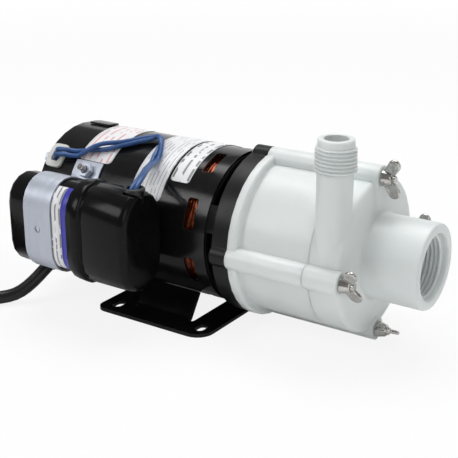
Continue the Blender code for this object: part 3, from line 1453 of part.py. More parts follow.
def lead_route(side):
    """Points of one of the two leads, a fixed distance to one side of the way they share over the shell."""
    low = LEAD_RADIUS + 2 * GAP
    boot_top = CAPACITOR_Z + CAPACITOR_HALF_HEIGHT + 2 * GAP + BOOT_WALL
    shared = (
        over_shell(GROMMET_X, 135.3, -0.0016),
        over_shell(GROMMET_X, 135.3, 0.0016),
        over_shell(GROMMET_X + 0.0026, 135.0, 0.0052),
        over_shell(GROMMET_X + 0.0080, 134.0, 0.0050),
        over_shell(GROMMET_X + 0.0150, 131.5, low + 0.0004),
        over_shell(LEAD_BEND_X - 0.0312, 123.0, low),
        over_shell(LEAD_BEND_X - 0.0162, 109.5, low),
        over_shell(LEAD_BEND_X - 0.0067, 102.5, low + 0.0006),
        over_shell(LEAD_BEND_X, 103.5, low + 0.0010),
        over_shell(LEAD_BEND_X + 0.0042, 113.0, low + 0.0003),
        over_shell(LEAD_BEND_X + 0.0066, 128.0, low + 0.0003),
        over_shell(LEAD_BEND_X + 0.0080, 141.0, low + 0.0016),
        (BOOT_HOLE_X - 0.0073, CAPACITOR_Y + 0.0105, boot_top + 0.0060),
        (BOOT_HOLE_X - 0.0010, CAPACITOR_Y + 0.0018, boot_top + 0.0042),
        (BOOT_HOLE_X, CAPACITOR_Y, boot_top - 0.0010),
        (BOOT_HOLE_X, CAPACITOR_Y, boot_top - 0.0070),
    )
    middle = smooth_route(shared, 0.0040)
    route = []
    for before, place, after in zip(middle[:1] + middle, middle, middle[1:] + middle[-1:]):
        along = (after - before).normalized() + Vector((0.3, 0, 0))
        out = Vector((0, place.y, place.z - AXIS_HEIGHT))
        route.append(place + along.cross(out).normalized() * side)
    return route


def capacitor_leads():
    """Two leads from the shell's grommet over the shell and down into the boot, one to each terminal."""
    tip_x = CAPACITOR_FRONT_X + 2 * GAP + TERMINAL_LENGTH
    for name, side in (("capacitor_lead_1", 1), ("capacitor_lead_2", -1)):
        end_z = CAPACITOR_Z + side * TERMINAL_SPREAD
        route = lead_route(side * (LEAD_RADIUS + GAP))
        last = route[-1]
        route.append(Vector((last.x, CAPACITOR_Y, end_z + 0.0050)))
        route.append(Vector((tip_x + 0.0050, CAPACITOR_Y, end_z + 0.0006)))
        route.append(Vector((tip_x + GAP, CAPACITOR_Y, end_z)))
        tube(name, route, LEAD_RADIUS, BLUE_WIRE, 1)


def relief_place():
    """Local X runs out along the cord from where it leaves the shell."""
    out = CORD_EXIT_DIRECTION
    side = Vector((0, 0, 1)).cross(out).normalized()
    up = out.cross(side)
    return Matrix.Translation(CORD_EXIT) @ Matrix((out, side, up)).transposed().to_4x4()


def strain_relief():
    """Tapered bush where the cord leaves the shell."""
    outside = RELIEF_LENGTH - RELIEF_INSIDE
    profile = [
        (-RELIEF_INSIDE, 0.0),
        (-RELIEF_INSIDE, RELIEF_ROOT_RADIUS * 0.80),
        (0.0020, RELIEF_ROOT_RADIUS * 0.80),
        (0.0024, RELIEF_ROOT_RADIUS),
        (0.0050, RELIEF_ROOT_RADIUS),
        (outside, RELIEF_TIP_RADIUS),
        (outside, 0.0),
    ]
    add("strain_relief", moved(turned(profile, 20, closed=False), relief_place()), CORD_PVC)


def power_cord():
    tip = CORD_EXIT + CORD_EXIT_DIRECTION * (RELIEF_LENGTH - RELIEF_INSIDE + GAP)
    ahead = tip + CORD_EXIT_DIRECTION * 0.0030
    tube("power_cord", smooth_route((tip, ahead, *CORD_ROUTE[1:]), 0.0100), CORD_RADIUS, CORD_PVC, 3)
    outer = COIL_OUTER_TURN + CORD_RADIUS + GAP
    soft = CORD_RADIUS * 0.8
    section = rounded_rectangle(GAP, COIL_HEIGHT, outer - COIL_ACROSS, outer, (soft,) * 4, 2)
    add("cord_coil", moved(turned(section, 28), upright(COIL_CENTRE.x, COIL_CENTRE.y)), CORD_PVC)


def plug():
    """Moulded three-pin plug, lying beside the coil with its relief towards it."""
    x = COIL_CENTRE.x - COIL_OUTER_TURN
    clear = COIL_OUTER_TURN + CORD_RADIUS + 2 * GAP
    y = COIL_CENTRE.y + math.sqrt(clear**2 - (COIL_OUTER_TURN - RELIEF_TIP_RADIUS) ** 2)
    z = PLUG_HALF_HEIGHT + GAP
    start = PLUG_RELIEF_LENGTH
    end = start + PLUG_LENGTH
    sections = (
        (0.0, RELIEF_TIP_RADIUS, RELIEF_TIP_RADIUS),
        (start * 0.75, RELIEF_TIP_RADIUS * 1.25, RELIEF_TIP_RADIUS * 1.25),
        (start, PLUG_HALF_WIDTH * 0.55, PLUG_HALF_HEIGHT * 0.60),
        (start + 0.0030, PLUG_HALF_WIDTH * 0.80, PLUG_HALF_HEIGHT * 0.82),
        (start + 0.0080, PLUG_HALF_WIDTH * 0.88, PLUG_HALF_HEIGHT * 0.90),
        (end - 0.0040, PLUG_HALF_WIDTH, PLUG_HALF_HEIGHT),
        (end - 0.0006, PLUG_HALF_WIDTH, PLUG_HALF_HEIGHT),
        (end, PLUG_HALF_WIDTH - 0.0008, PLUG_HALF_HEIGHT - 0.0008),
    )
    rings = []
    for along, half_width, half_height in sections:
        points = rounded_rectangle(
            -half_width, half_width, -half_height, half_height, (min(half_width, half_height) * 0.7,) * 4, 3
        )
        rings.append([(x + u, y + along, z + v) for u, v in points])
    loft(rings, "plug_body", CORD_PVC)
    face = y + end + GAP
    for name, side in (("plug_blade_1", -1), ("plug_blade_2", 1)):
        outline = rounded_rectangle(
            x + side * BLADE_SPREAD - BLADE_THICKNESS / 2,
            x + side * BLADE_SPREAD + BLADE_THICKNESS / 2,
            face,
            face + BLADE_LENGTH,
            (0.0001, 0.0001, 0.0006, 0.0006),
            2,
        )
        low = z + GROUND_PIN_DROP / 2 - BLADE_WIDTH / 2
        add(name, prism(outline, low, low + BLADE_WIDTH), BRASS)
    profile = [
        (0.0, 0.0),
        (0.0, GROUND_PIN_RADIUS),
        (GROUND_PIN_LENGTH - 0.0020, GROUND_PIN_RADIUS),
        (GROUND_PIN_LENGTH - 0.0005, GROUND_PIN_RADIUS * 0.6),
        (GROUND_PIN_LENGTH, 0.0),
    ]
    forward = Matrix.Translation((x, face, z - GROUND_PIN_DROP)) @ Matrix.Rotation(math.pi / 2, 4, "Z")
    add("plug_ground_pin", moved(turned(profile, 16, closed=False), forward), BRASS)


def build():
    base_plate()
    motor_shell()
    rear_end_bell()
    front_bracket()
    stator_core()
    stator_winding()
    bearing("rear_bearing", SHAFT_REAR_X + GAP)
    bearing("front_bearing", BRACKET_REAR_X - BEARING_WIDTH + 0.0010 + GAP)
    tie_bolts()
    rotor(moving_frame("rotor_axis", (0.0, 0.0, AXIS_HEIGHT)))
    rear_housing()
    volute()
    spindle_parts()
    impeller_parts(moving_frame("impeller_axis", (0.0, 0.0, AXIS_HEIGHT)))
    head_fasteners()
    capacitor()
    capacitor_boot()
    capacitor_strap()
    lead_grommet()
    shell_tab()
    capacitor_leads()
    strain_relief()
    power_cord()
    plug()


build()
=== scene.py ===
"""Looks for the magnetic drive pump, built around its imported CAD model. Lengths in metres."""

import json
import math

import bmesh
import bpy
from mathutils import Matrix, Vector


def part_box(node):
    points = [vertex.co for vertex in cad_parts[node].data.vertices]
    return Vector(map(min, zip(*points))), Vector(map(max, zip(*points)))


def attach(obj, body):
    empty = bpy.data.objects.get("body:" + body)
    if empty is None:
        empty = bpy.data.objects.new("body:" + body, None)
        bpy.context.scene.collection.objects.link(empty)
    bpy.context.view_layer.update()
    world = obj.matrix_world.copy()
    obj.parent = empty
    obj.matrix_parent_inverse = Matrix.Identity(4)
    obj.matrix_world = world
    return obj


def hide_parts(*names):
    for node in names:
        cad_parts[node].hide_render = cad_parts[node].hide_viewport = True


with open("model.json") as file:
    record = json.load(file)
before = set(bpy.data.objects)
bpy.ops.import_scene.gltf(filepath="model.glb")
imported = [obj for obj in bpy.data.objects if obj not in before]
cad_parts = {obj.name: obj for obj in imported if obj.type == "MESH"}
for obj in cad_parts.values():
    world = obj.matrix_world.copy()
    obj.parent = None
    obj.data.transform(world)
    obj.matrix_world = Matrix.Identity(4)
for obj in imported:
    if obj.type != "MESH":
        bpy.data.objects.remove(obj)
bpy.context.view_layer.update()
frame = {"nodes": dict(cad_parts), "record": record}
NODES = frame["nodes"]
BODY_OF = {n: b for b, group in frame["record"]["behaviour"]["bodies"].items() for n in group}
SLOT_OF = {s["node"]: s["material_slot"] for s in frame["record"]["subparts"]}

AXIS_HEIGHT = 0.050
SHELL_RADIUS = 0.04225


# Materials

WAVE_SCALE = 0.314  # the wave texture's scale at which its ribs lie one metre apart
BEVEL_SAMPLES = 6
DUST_PATCH = 0.006
DASH_LENGTH = 0.0036
DASH_GAPS = 0.45
PAPER = (0.83, 0.835, 0.85)
ZINC = (0.545, 0.58, 0.655)
DUST = (0.05, 0.048, 0.045)


class Look:
    """A node material made from object-space noise, so that its detail has a real size."""

    def __init__(self, name, colour, roughness, metallic=0.0):
        self.mat = bpy.data.materials.new(name)
        self.mat.use_nodes = True
        self.tree = self.mat.node_tree
        self.shader = self.tree.nodes["Principled BSDF"]
        self.colour = colour
        self.shader.inputs["Base Color"].default_value = (*colour, 1)
        self.shader.inputs["Roughness"].default_value = roughness
        self.shader.inputs["Metallic"].default_value = metallic
        self.roughness = roughness
        self.base = None
        self.normal = None

    def node(self, kind, **values):
        made = self.tree.nodes.new(kind)
        for key, value in values.items():
            setattr(made, key, value)
        return made

    def link(self, out, into):
        self.tree.links.new(out, into)

    def coords(self, stretch=(1, 1, 1)):
        place = self.node("ShaderNodeTexCoord")
        mapping = self.node("ShaderNodeMapping")
        mapping.inputs["Scale"].default_value = stretch
        self.link(place.outputs["Object"], mapping.inputs["Vector"])
        return mapping.outputs["Vector"]

    def noise(self, size, detail=3.0, stretch=(1, 1, 1)):
        """Noise whose lumps are about `size` metres across, from 0 to 1."""
        made = self.node("ShaderNodeTexNoise")
        made.inputs["Scale"].default_value = 1 / size
        made.inputs["Detail"].default_value = detail
        self.link(self.coords(stretch), made.inputs["Vector"])
        return made.outputs["Fac"]

    def ranged(self, value, low, high, start=0.3, end=0.7):
        made = self.node("ShaderNodeMapRange")
        made.inputs["From Min"].default_value = start
        made.inputs["From Max"].default_value = end
        made.inputs["To Min"].default_value = low
        made.inputs["To Max"].default_value = high
        self.link(value, made.inputs["Value"])
        return made.outputs["Result"]

    def blend(self, share, first, second):
        made = self.node("ShaderNodeMix", data_type="RGBA")
        for value, socket in ((first, made.inputs[6]), (second, made.inputs[7])):
            if isinstance(value, tuple):
                socket.default_value = (*value, 1)
            else:
                self.link(value, socket)
        self.link(share, made.inputs[0])
        return made.outputs[2]

    def cover(self, colour):
        """Takes a colour as the surface's own, for later layers to go over."""
        self.base = colour
        self.link(colour, self.shader.inputs["Base Color"])
        return self

    def mottle(self, size, amount, stretch=(1, 1, 1), tint=(1, 1, 1)):
        """Lighter and darker patches."""
        low = tuple(max(c * (1 - amount), 0) for c in self.colour)
        high = tuple(min(c * (1 + amount) * t, 1) for c, t in zip(self.colour, tint))
        share = self.ranged(self.noise(size, 4.0, stretch), 0, 1)
        return self.cover(self.blend(share, low, high))

    def sheen_patches(self, size, amount, stretch=(1, 1, 1)):
        value = self.ranged(
            self.noise(size, 3.0, stretch), self.roughness - amount, self.roughness + amount
        )
        self.link(value, self.shader.inputs["Roughness"])
        return self

    def bumps(self, height, strength, distance):
        made = self.node("ShaderNodeBump")
        made.inputs["Strength"].default_value = strength
        made.inputs["Distance"].default_value = distance
        self.link(height, made.inputs["Height"])
        if self.normal:
            self.link(self.normal, made.inputs["Normal"])
        self.normal = made.outputs["Normal"]
        self.link(self.normal, self.shader.inputs["Normal"])
        return self

    def soft_edges(self, radius):
        """Rounds edges and inner corners in the shading alone. It comes before the bumps."""
        bevel = self.node("ShaderNodeBevel", samples=BEVEL_SAMPLES)
        bevel.inputs["Radius"].default_value = radius
        self.normal = bevel.outputs["Normal"]
        return self

    def grain(self, size, strength, distance=0.0001, stretch=(1, 1, 1)):
        return self.bumps(self.noise(size, 2.0, stretch), strength, distance)

    def waves(self, size, strength, distance, distortion=0.0):
        """Ribs across the X axis, `size` metres apart."""
        made = self.node("ShaderNodeTexWave", wave_type="BANDS", bands_direction="X")
        made.inputs["Scale"].default_value = WAVE_SCALE / size
        made.inputs["Distortion"].default_value = distortion
        made.inputs["Detail"].default_value = 1.0
        self.link(self.coords(), made.inputs["Vector"])
        return self.bumps(made.outputs["Fac"], strength, distance)

    def dust(self, colour, amount):
        """A thin uneven film on faces that look up."""
        geometry = self.node("ShaderNodeNewGeometry")
        split = self.node("ShaderNodeSeparateXYZ")
        self.link(geometry.outputs["Normal"], split.inputs[0])
        up = self.ranged(split.outputs["Z"], 0, amount, 0.2, 1.0)
        patch = self.ranged(self.noise(DUST_PATCH, 5.0), 0.35, 1.0)
        return self.cover(self.blend(self.maths("MULTIPLY", up, patch), self.base, colour))

    def dashes(self, spacing, width, colour):
        """Broken rules across the X axis, as a plain stand-in for fine print."""
        split = self.node("ShaderNodeSeparateXYZ")
        self.link(self.coords(), split.inputs[0])
        row = self.maths("FRACT", self.maths("DIVIDE", split.outputs["X"], spacing))
        inked = self.maths("LESS_THAN", row, width)
        broken = self.maths("GREATER_THAN", self.noise(DASH_LENGTH, 0.0), DASH_GAPS)
        return self.cover(self.blend(self.maths("MULTIPLY", inked, broken), self.base, colour))

    def maths(self, operation, first, second=0.0):
        made = self.node("ShaderNodeMath", operation=operation)
        for value, socket in zip((first, second), made.inputs):
            if isinstance(value, float):
                socket.default_value = value
            else:
                self.link(value, socket)
        return made.outputs[0]

    def extra(self, **values):
        for key, value in values.items():
            self.shader.inputs[key.replace("_", " ")].default_value = value
        return self


def milky_polymer(name, soft_edge):
    made = Look(name, (0.765, 0.81, 0.80), 0.38).mottle(0.020, 0.02)
    made.sheen_patches(0.014, 0.05).soft_edges(soft_edge).grain(0.0009, 0.06, 0.00004)
    made.grain(0.010, 0.10, 0.0003)
    made.extra(Subsurface_Weight=0.4, Subsurface_Scale=0.006, Subsurface_Radius=(0.9, 1.0, 1.0))
    return made


def sticker(name, spacing, width, ink):
    made = Look(name, PAPER, 0.38).mottle(0.010, 0.02).grain(0.0030, 0.12)
    return made.dashes(spacing, width, ink).extra(Coat_Weight=0.15, Coat_Roughness=0.25)


def make_looks():
    paint = Look("black_enamel", (0.0045, 0.0045, 0.005), 0.17).mottle(0.012, 0.25)
    paint.sheen_patches(0.010, 0.04).soft_edges(0.0004).grain(0.0016, 0.06, 0.00005)
    paint.grain(0.014, 0.10, 0.0004).dust(DUST, 0.05)
    paint.extra(Specular_IOR_Level=0.29)
    casting = Look("black_casting", (0.0060, 0.0060, 0.0064), 0.36).mottle(0.012, 0.25)
    casting.sheen_patches(0.010, 0.04).soft_edges(0.0005).grain(0.0014, 0.10, 0.00006)
    casting.dust(DUST, 0.05).extra(Specular_IOR_Level=0.26)
    polymer = milky_polymer("milky_polymer", 0.0009)
    threads = milky_polymer("milky_polymer_threads", 0.0001)
    moulded = Look("black_moulding", (0.0038, 0.0038, 0.0041), 0.19).mottle(0.006, 0.15)
    moulded.sheen_patches(0.005, 0.03).soft_edges(0.0008).grain(0.0012, 0.03, 0.00004)
    moulded.grain(0.012, 0.06, 0.0003).dust((0.05, 0.05, 0.048), 0.02)
    moulded.extra(Specular_IOR_Level=0.15)
    zinc = Look("zinc_plate", ZINC, 0.40, 0.85).mottle(0.004, 0.08)
    zinc.sheen_patches(0.006, 0.05).grain(0.0006, 0.10, 0.00004)
    strap = Look("zinc_strip", ZINC, 0.48, 0.85).mottle(0.008, 0.05, stretch=(1, 0.25, 0.25))
    strap.sheen_patches(0.006, 0.05, (1, 0.2, 0.2))
    strap.grain(0.0006, 0.10, 0.00004, (1, 0.10, 0.10))
    strap.waves(0.0055, 0.18, 0.0002, 0.8)
    steel = Look("dark_stainless", (0.50, 0.485, 0.465), 0.13, 1.0).mottle(0.0025, 0.20)
    steel.sheen_patches(0.002, 0.05).soft_edges(0.0002).grain(0.0012, 0.25)
    lamination = Look("sheet_edges", (0.16, 0.15, 0.14), 0.45, 1.0).mottle(0.003, 0.30)
    lamination.waves(0.0005, 0.8, 0.0002)
    copper = Look("enamelled_copper", (0.31, 0.066, 0.018), 0.22, 0.75)
    # The strong mottle, warmer on its light side, gives the enamel an uneven tone and also paints
    # bright orange highlights on the wires.
    copper.mottle(0.003, 0.7, tint=(1.3, 1.1, 0.9)).grain(0.0012, 0.3)
    copper.extra(Coat_Weight=0.8, Coat_Roughness=0.08)
    ferrite = Look("ground_ferrite", (0.05, 0.05, 0.055), 0.5).mottle(0.002, 0.3)
    ferrite.grain(0.0005, 0.3)
    ceramic = Look("ground_alumina", (0.86, 0.84, 0.80), 0.22).mottle(0.004, 0.03)
    ceramic.grain(0.0004, 0.08)
    carbon = Look("moulded_carbon", (0.03, 0.03, 0.03), 0.45).mottle(0.002, 0.3)
    carbon.grain(0.0005, 0.3)
    rubber = Look("soft_rubber", (0.008, 0.008, 0.008), 0.42).mottle(0.004, 0.25)
    rubber.grain(0.0005, 0.2)
    nylon = Look("natural_nylon", (0.66, 0.67, 0.64), 0.38).mottle(0.004, 0.04)
    nylon.grain(0.0006, 0.1).extra(Subsurface_Weight=0.2, Subsurface_Scale=0.002)
    wire = Look("blue_jacket", (0.036, 0.098, 0.27), 0.34).mottle(0.004, 0.12)
    wire.grain(0.0008, 0.10)
    wire.extra(Coat_Weight=0.1, Coat_Roughness=0.25, Specular_IOR_Level=0.36)
    jacket = Look("cord_jacket", (0.006, 0.006, 0.0065), 0.36).mottle(0.010, 0.25)
    jacket.sheen_patches(0.006, 0.05).grain(0.0008, 0.15, 0.00006).extra(Specular_IOR_Level=0.4)
    brass = Look("plated_brass", (0.60, 0.55, 0.46), 0.26, 1.0).mottle(0.003, 0.12)
    brass.grain(0.0004, 0.2)
    fine_sticker = sticker("sticker_fine_rules", 0.0023, 0.26, (0.44, 0.44, 0.46))
    red_sticker = sticker("sticker_red_rules", 0.0042, 0.30, (0.74, 0.40, 0.40))
    bold_sticker = sticker("sticker_bold_rules", 0.0050, 0.28, (0.24, 0.24, 0.25))
    can_sticker = sticker("sticker_can_rules", 0.0030, 0.34, (0.26, 0.26, 0.28))
    band = Look("sticker_band", (0.045, 0.045, 0.40), 0.34).mottle(0.006, 0.06)
    band.grain(0.0030, 0.12)
    return {
        "black_paint": paint,
        "black_casting": casting,
        "white_plastic": polymer,
        "white_threads": threads,
        "black_plastic": moulded,
        "zinc": zinc,
        "zinc_strip": strap,
        "stainless": steel,
        "lamination": lamination,
        "copper": copper,
        "ferrite": ferrite,
        "alumina": ceramic,
        "carbon": carbon,
        "rubber": rubber,
        "nylon": nylon,
        "blue_wire": wire,
        "cord_pvc": jacket,
        "brass": brass,
        "sticker_fine": fine_sticker,
        "sticker_red": red_sticker,
        "sticker_bold": bold_sticker,
        "sticker_can": can_sticker,
        "sticker_band": band,
    }


LOOKS = make_looks()


def look(slot):
    return LOOKS[slot].mat


# Camera, as fitted to the photograph

LENS_MM = 79.98
SENSOR_MM = 36.0
CAMERA_AZIMUTH = math.radians(33.80)
CAMERA_ELEVATION = math.radians(19.84)
CAMERA_PLACE = Vector((0.29075, -0.44606, 0.23928))


def make_camera():
    data = bpy.data.cameras.new("photo_view")
    data.lens = LENS_MM
    data.sensor_width = SENSOR_MM
    data.clip_start = 0.01
    camera = bpy.data.objects.new("photo_view", data)
    bpy.context.scene.collection.objects.link(camera)
    turn, rise = CAMERA_AZIMUTH, CAMERA_ELEVATION
    back = Vector(
        (math.sin(turn) * math.cos(rise), -math.cos(turn) * math.cos(rise), math.sin(rise))
    )
    right = Vector((math.cos(turn), math.sin(turn), 0.0))
    up = back.cross(right)
    place = Matrix((right, up, back)).transposed().to_4x4()
    place.translation = CAMERA_PLACE
    camera.matrix_world = place
    bpy.context.scene.camera = camera


make_camera()


# Building pieces

WELD = 2e-6
FINE_WELD = 1e-7
FLAT_WITHIN = math.radians(0.6)


def new_piece(name, mesh_or_curve, slot, body="pump", finish=None):
    made = bpy.data.objects.new(name, mesh_or_curve)
    bpy.context.scene.collection.objects.link(made)
    made.data.materials.clear()
    made.data.materials.append(look(finish or slot))
    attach(made, body)
    return made


def mesh_from(bm, name, angle=35, merge=1e-6):
    bmesh.ops.remove_doubles(bm, verts=bm.verts, dist=merge)
    bmesh.ops.recalc_face_normals(bm, faces=bm.faces)
    mesh = bpy.data.meshes.new(name)
    bm.to_mesh(mesh)
    bm.free()
    mesh.shade_smooth()
    mesh.set_sharp_from_angle(angle=math.radians(angle))
    return mesh


def join_rows(bm, rows, closed=True):
    """Quads between each row of vertices and the next."""
    for a, b in zip(rows, rows[1:]):
        for k in range(len(a) if closed else len(a) - 1):
            after = (k + 1) % len(a)
            bm.faces.new((a[k], a[after], b[after], b[k]))


def thicken(made, thickness, offset):
    """Gives a sheet its thickness, inwards for an offset of -1 and outwards for 1."""
    thick = made.modifiers.new("thickness", "SOLIDIFY")
    thick.thickness = thickness
    thick.offset = offset


def skin(node, bevel=0.0, angle=35, segments=2, finish=None, left_out=None, shift=None):
    """A finer surface over a CAD node: flat faces joined, smoothed, with soft edges.

    left_out names faces that another piece shows, and shift moves vertices along X.
    """
    bm = bmesh.new()
    bm.from_mesh(NODES[node].data)
    bmesh.ops.remove_doubles(bm, verts=bm.verts, dist=WELD)
    if left_out:
        gone = [face for face in bm.faces if left_out(face.calc_center_median())]
        bmesh.ops.delete(bm, geom=gone, context="FACES")
    if shift:
        for vert in bm.verts:
            vert.co.x += shift(vert.co)
    bmesh.ops.dissolve_limit(
        bm, angle_limit=FLAT_WITHIN, verts=bm.verts, edges=bm.edges, delimit={"NORMAL"}
    )
    slot = SLOT_OF[node]
    made = new_piece(f"{node}_skin", mesh_from(bm, node, angle), slot, BODY_OF[node], finish)
    if bevel:
        soft = made.modifiers.new("soft_edges", "BEVEL")
        soft.width = bevel
        soft.segments = segments
        soft.limit_method = "ANGLE"
        soft.angle_limit = math.radians(angle)
        soft.harden_normals = True
        soft.use_clamp_overlap = True
    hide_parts(node)
    return made


def tube(name, points, radius, slot, resolution=4):
    curve = bpy.data.curves.new(name, "CURVE")
    curve.dimensions = "3D"
    curve.bevel_depth = radius
    curve.bevel_resolution = resolution
    curve.use_fill_caps = True
    spline = curve.splines.new("POLY")
    spline.points.add(len(points) - 1)
    for place, point in zip(spline.points, points):
        place.co = (*point, 1.0)
    return new_piece(name, curve, slot)


def smooth_route(points, step):
    """Points about one step apart on a Catmull-Rom curve through the given points."""
    places = [Vector(p) for p in points]
    ends = [2 * places[0] - places[1], *places, 2 * places[-1] - places[-2]]
    route = [places[0]]
    for a, b, c, d in zip(ends, ends[1:], ends[2:], ends[3:]):
        count = max(1, round((c - b).length / step))
        for i in range(1, count + 1):
            t = i / count
            cubic = 3 * b - a - 3 * c + d
            square = 2 * a - 5 * b + 4 * c - d
            route.append(0.5 * (2 * b + (c - a) * t + square * t**2 + cubic * t**3))
    return route


# Mains lead: the CAD route, then a coil just outside the picture, and the plug

CORD_RADIUS = 0.0037
CORD_EXIT = Vector((-0.0983, -0.035184, 0.027711))
CORD_EXIT_DIRECTION = Vector((-0.15, -0.85, -0.50)).normalized()
RELIEF_OUTSIDE = 0.0160
CORD_ROUTE = (
    (-0.1033, -0.0558, 0.0140),
    (-0.1065, -0.0618, 0.0090),
    (-0.1107, -0.0675, 0.0055),
    (-0.1169, -0.0736, 0.0040),
    (-0.1260, -0.0835, 0.0040),
    (-0.1350, -0.0932, 0.0041),
)
COIL_CENTRE = Vector((-0.1851, -0.0823, 0.0))
COIL_TURNS = (  # radius and height of each turn
    (0.0444, 0.0046),
    (0.0368, 0.0046),
    (0.0368, 0.0121),
    (0.0444, 0.0121),
    (0.0444, 0.0196),
    (0.0368, 0.0196),
    (0.0404, 0.0262),
)
COIL_START = math.radians(-43)
COIL_END = math.radians(-180 - 360 * 6)
TURN_STEPS = 44
CHANGE_OVER = 0.22  # the last share of a turn, in which the cord moves to the next one's place
TIE_RADII = (0.0325, 0.0487)
TIE_HEIGHTS = (0.0004, 0.0242)
TIE_CORNER = 0.0034
TIE_ANGLES = (96, 110)
TIE_THICKNESS = 0.0008


def coil_points():
    """Clockwise turns, each at its own radius and height, with a short change-over between them."""
    sweep = COIL_START - COIL_END
    count = round(sweep / math.tau * TURN_STEPS)
    points = []
    for i in range(count + 1):
        done = sweep * i / count
        turn = min(int(done / math.tau), len(COIL_TURNS) - 1)
        share = done / math.tau - turn
        here = Vector(COIL_TURNS[turn])
        if turn + 1 < len(COIL_TURNS):
            change = max(0.0, (share - (1 - CHANGE_OVER)) / CHANGE_OVER)
            change = change * change * (3 - 2 * change)
            here = here.lerp(Vector(COIL_TURNS[turn + 1]), change)
        angle = COIL_START - done
        out = Vector((math.cos(angle), math.sin(angle), 0)) * here.x
        points.append(COIL_CENTRE + out + Vector((0, 0, here.y)))
    return points


def make_cord():
    tip = CORD_EXIT + CORD_EXIT_DIRECTION * (RELIEF_OUTSIDE + 0.0003)
    ahead = tip + CORD_EXIT_DIRECTION * 0.0030
    shown = smooth_route((tip, ahead, *CORD_ROUTE), 0.0050)
    coil = coil_points()
    plug_low, plug_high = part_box("plug_body")
    plug = Vector(
        ((plug_low[0] + plug_high[0]) / 2, plug_low[1], (plug_low[2] + plug_high[2]) / 2)
    )
    lead_in = smooth_route((shown[-2], shown[-1], coil[0], coil[1]), 0.0060)[1:-1]
    before_plug = (plug.x, plug.y - 0.010, 0.0168)
    at_plug = (plug.x, plug.y - 0.0002, plug.z)
    tail = smooth_route((coil[-2], coil[-1], before_plug, at_plug), 0.0060)[2:]
    lead_in = [p for p in lead_in if (p - shown[-2]).length > 0.003]
    points = shown[:-1] + lead_in + coil[1:-1] + tail
    cord = tube("mains_lead", points, CORD_RADIUS, "cord_pvc", 5)
    length = sum((b - a).length for a, b in zip(points, points[1:]))
    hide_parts("power_cord", "cord_coil")
    return length


def make_tie():
    """A hook tape tie round the coil's turns."""
    low_r, high_r = TIE_RADII
    low_z, high_z = TIE_HEIGHTS
    outline = []
    for centre_r, centre_z, start in (
        (high_r - TIE_CORNER, high_z - TIE_CORNER, 0.0),
        (low_r + TIE_CORNER, high_z - TIE_CORNER, math.pi / 2),
        (low_r + TIE_CORNER, low_z + TIE_CORNER, math.pi),
        (high_r - TIE_CORNER, low_z + TIE_CORNER, math.pi * 1.5),
    ):
        for k in range(7):
            a = start + math.pi / 2 * k / 6
            outline.append(
                (centre_r + TIE_CORNER * math.cos(a), centre_z + TIE_CORNER * math.sin(a))
            )
    bm = bmesh.new()
    rows = []
    for j in range(6):
        angle = math.radians(TIE_ANGLES[0] + (TIE_ANGLES[1] - TIE_ANGLES[0]) * j / 5)
        out = Vector((math.cos(angle), math.sin(angle), 0))
        rows.append([bm.verts.new(COIL_CENTRE + out * r + Vector((0, 0, z))) for r, z in outline])
    join_rows(bm, rows)
    thicken(new_piece("cord_tie", mesh_from(bm, "cord_tie"), "rubber"), TIE_THICKNESS, -1.0)


PLUG = skin("plug_body", 0.0008, 30, 3)
BLADES = [skin(n, 0.0002) for n in ("plug_blade_1", "plug_blade_2", "plug_ground_pin")]
CORD_LENGTH = make_cord()
make_tie()


# Smooth skins over the CAD nodes that show, with the width of their soft edges

SKINS = {
    "base_plate": 0.0003,
    "motor_shell": 0.0002,
    "rear_end_bell": 0.0003,
    "shell_tab": 0.0002,
    "stator_winding": 0.0006,
    "run_capacitor": 0.0,
    "boot_grommet": 0.0002,
    "lead_grommet": 0.0003,
    "strain_relief": 0.0004,
    "strap_nut_1": 0.0004,
    "strap_nut_2": 0.0004,
    **{f"housing_stud_{i}": 0.0003 for i in (1, 2, 3, 4)},
    **{f"tie_bolt_{i}": 0.0003 for i in (1, 2, 3, 4)},
}
HEAD_JOINT_X = 0.0658
JOINT_CLOSED_BY = 0.00025
MOULDED_EDGE = 0.00015
BOOT_REAR_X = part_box("capacitor_boot")[0][0]
COLLAR_REACH = 0.0031  # how much further back the boot's collar goes than in the CAD model
SAME_PLACE = 2e-5


def close_joint(at):
    return JOINT_CLOSED_BY if abs(at.x - HEAD_JOINT_X) < SAME_PLACE else 0.0


def lengthen_collar(at):
    return -COLLAR_REACH if at.x < BOOT_REAR_X + SAME_PLACE else 0.0


for node_name, soft_edge in SKINS.items():
    skin(node_name, soft_edge)
skin("capacitor_strap", 0.0002, finish="zinc_strip")
skin("front_bracket", 0.0004, finish="black_casting")
skin("strap_stud_1", 0.0002, finish="stainless")
skin("strap_stud_2", 0.0002, finish="stainless")
skin("rear_housing", MOULDED_EDGE, shift=close_joint)
skin("capacitor_boot", 0.0003, shift=lengthen_collar)


# Threads of the outlet and the inlet, one running helix each

OUTLET = Vector((0.0744, -0.0320, 0.1171))
OUTLET_PITCH = 0.001814
OUTLET_TURNS = 7.15
OUTLET_THREAD_TOP = 0.0036
OUTLET_WALL_END = 0.0170
OUTLET_RADIUS = 0.00905
OUTLET_CREST = 0.01018
OUTLET_RUN_IN = 0.0007
OUTLET_RUN_OUT = 0.0005
OUTLET_TAPER = 0.00005  # added to the crest's radius at each turn, from the depth TAPER_FROM
TAPER_FROM = 0.0046
ROOT_DEPTH = 0.00015
OUTLET_RIM = (
    (0.0006, 0.0059),
    (0.0002, 0.0060),
    (0.0, 0.0063),
    (0.0, 0.0083),
    (0.0002, 0.0088),
    (0.0007, OUTLET_RADIUS),
)
INLET_PITCH = 0.002209
INLET_TURNS = 4.6
INLET_RECESS_X = 0.11215
INLET_MOUTH_RADIUS = 0.0172
INLET_RADIUS = 0.0167
INLET_THREAD_HEIGHT = 0.0013
INLET_RUN_IN = 0.0004
INLET_RUN_OUT = 0.0008
ROOT_SHARE = 0.16  # of half a pitch, flat at the root
FLANK_SHARE = 0.55  # of half a pitch, taken by the flank
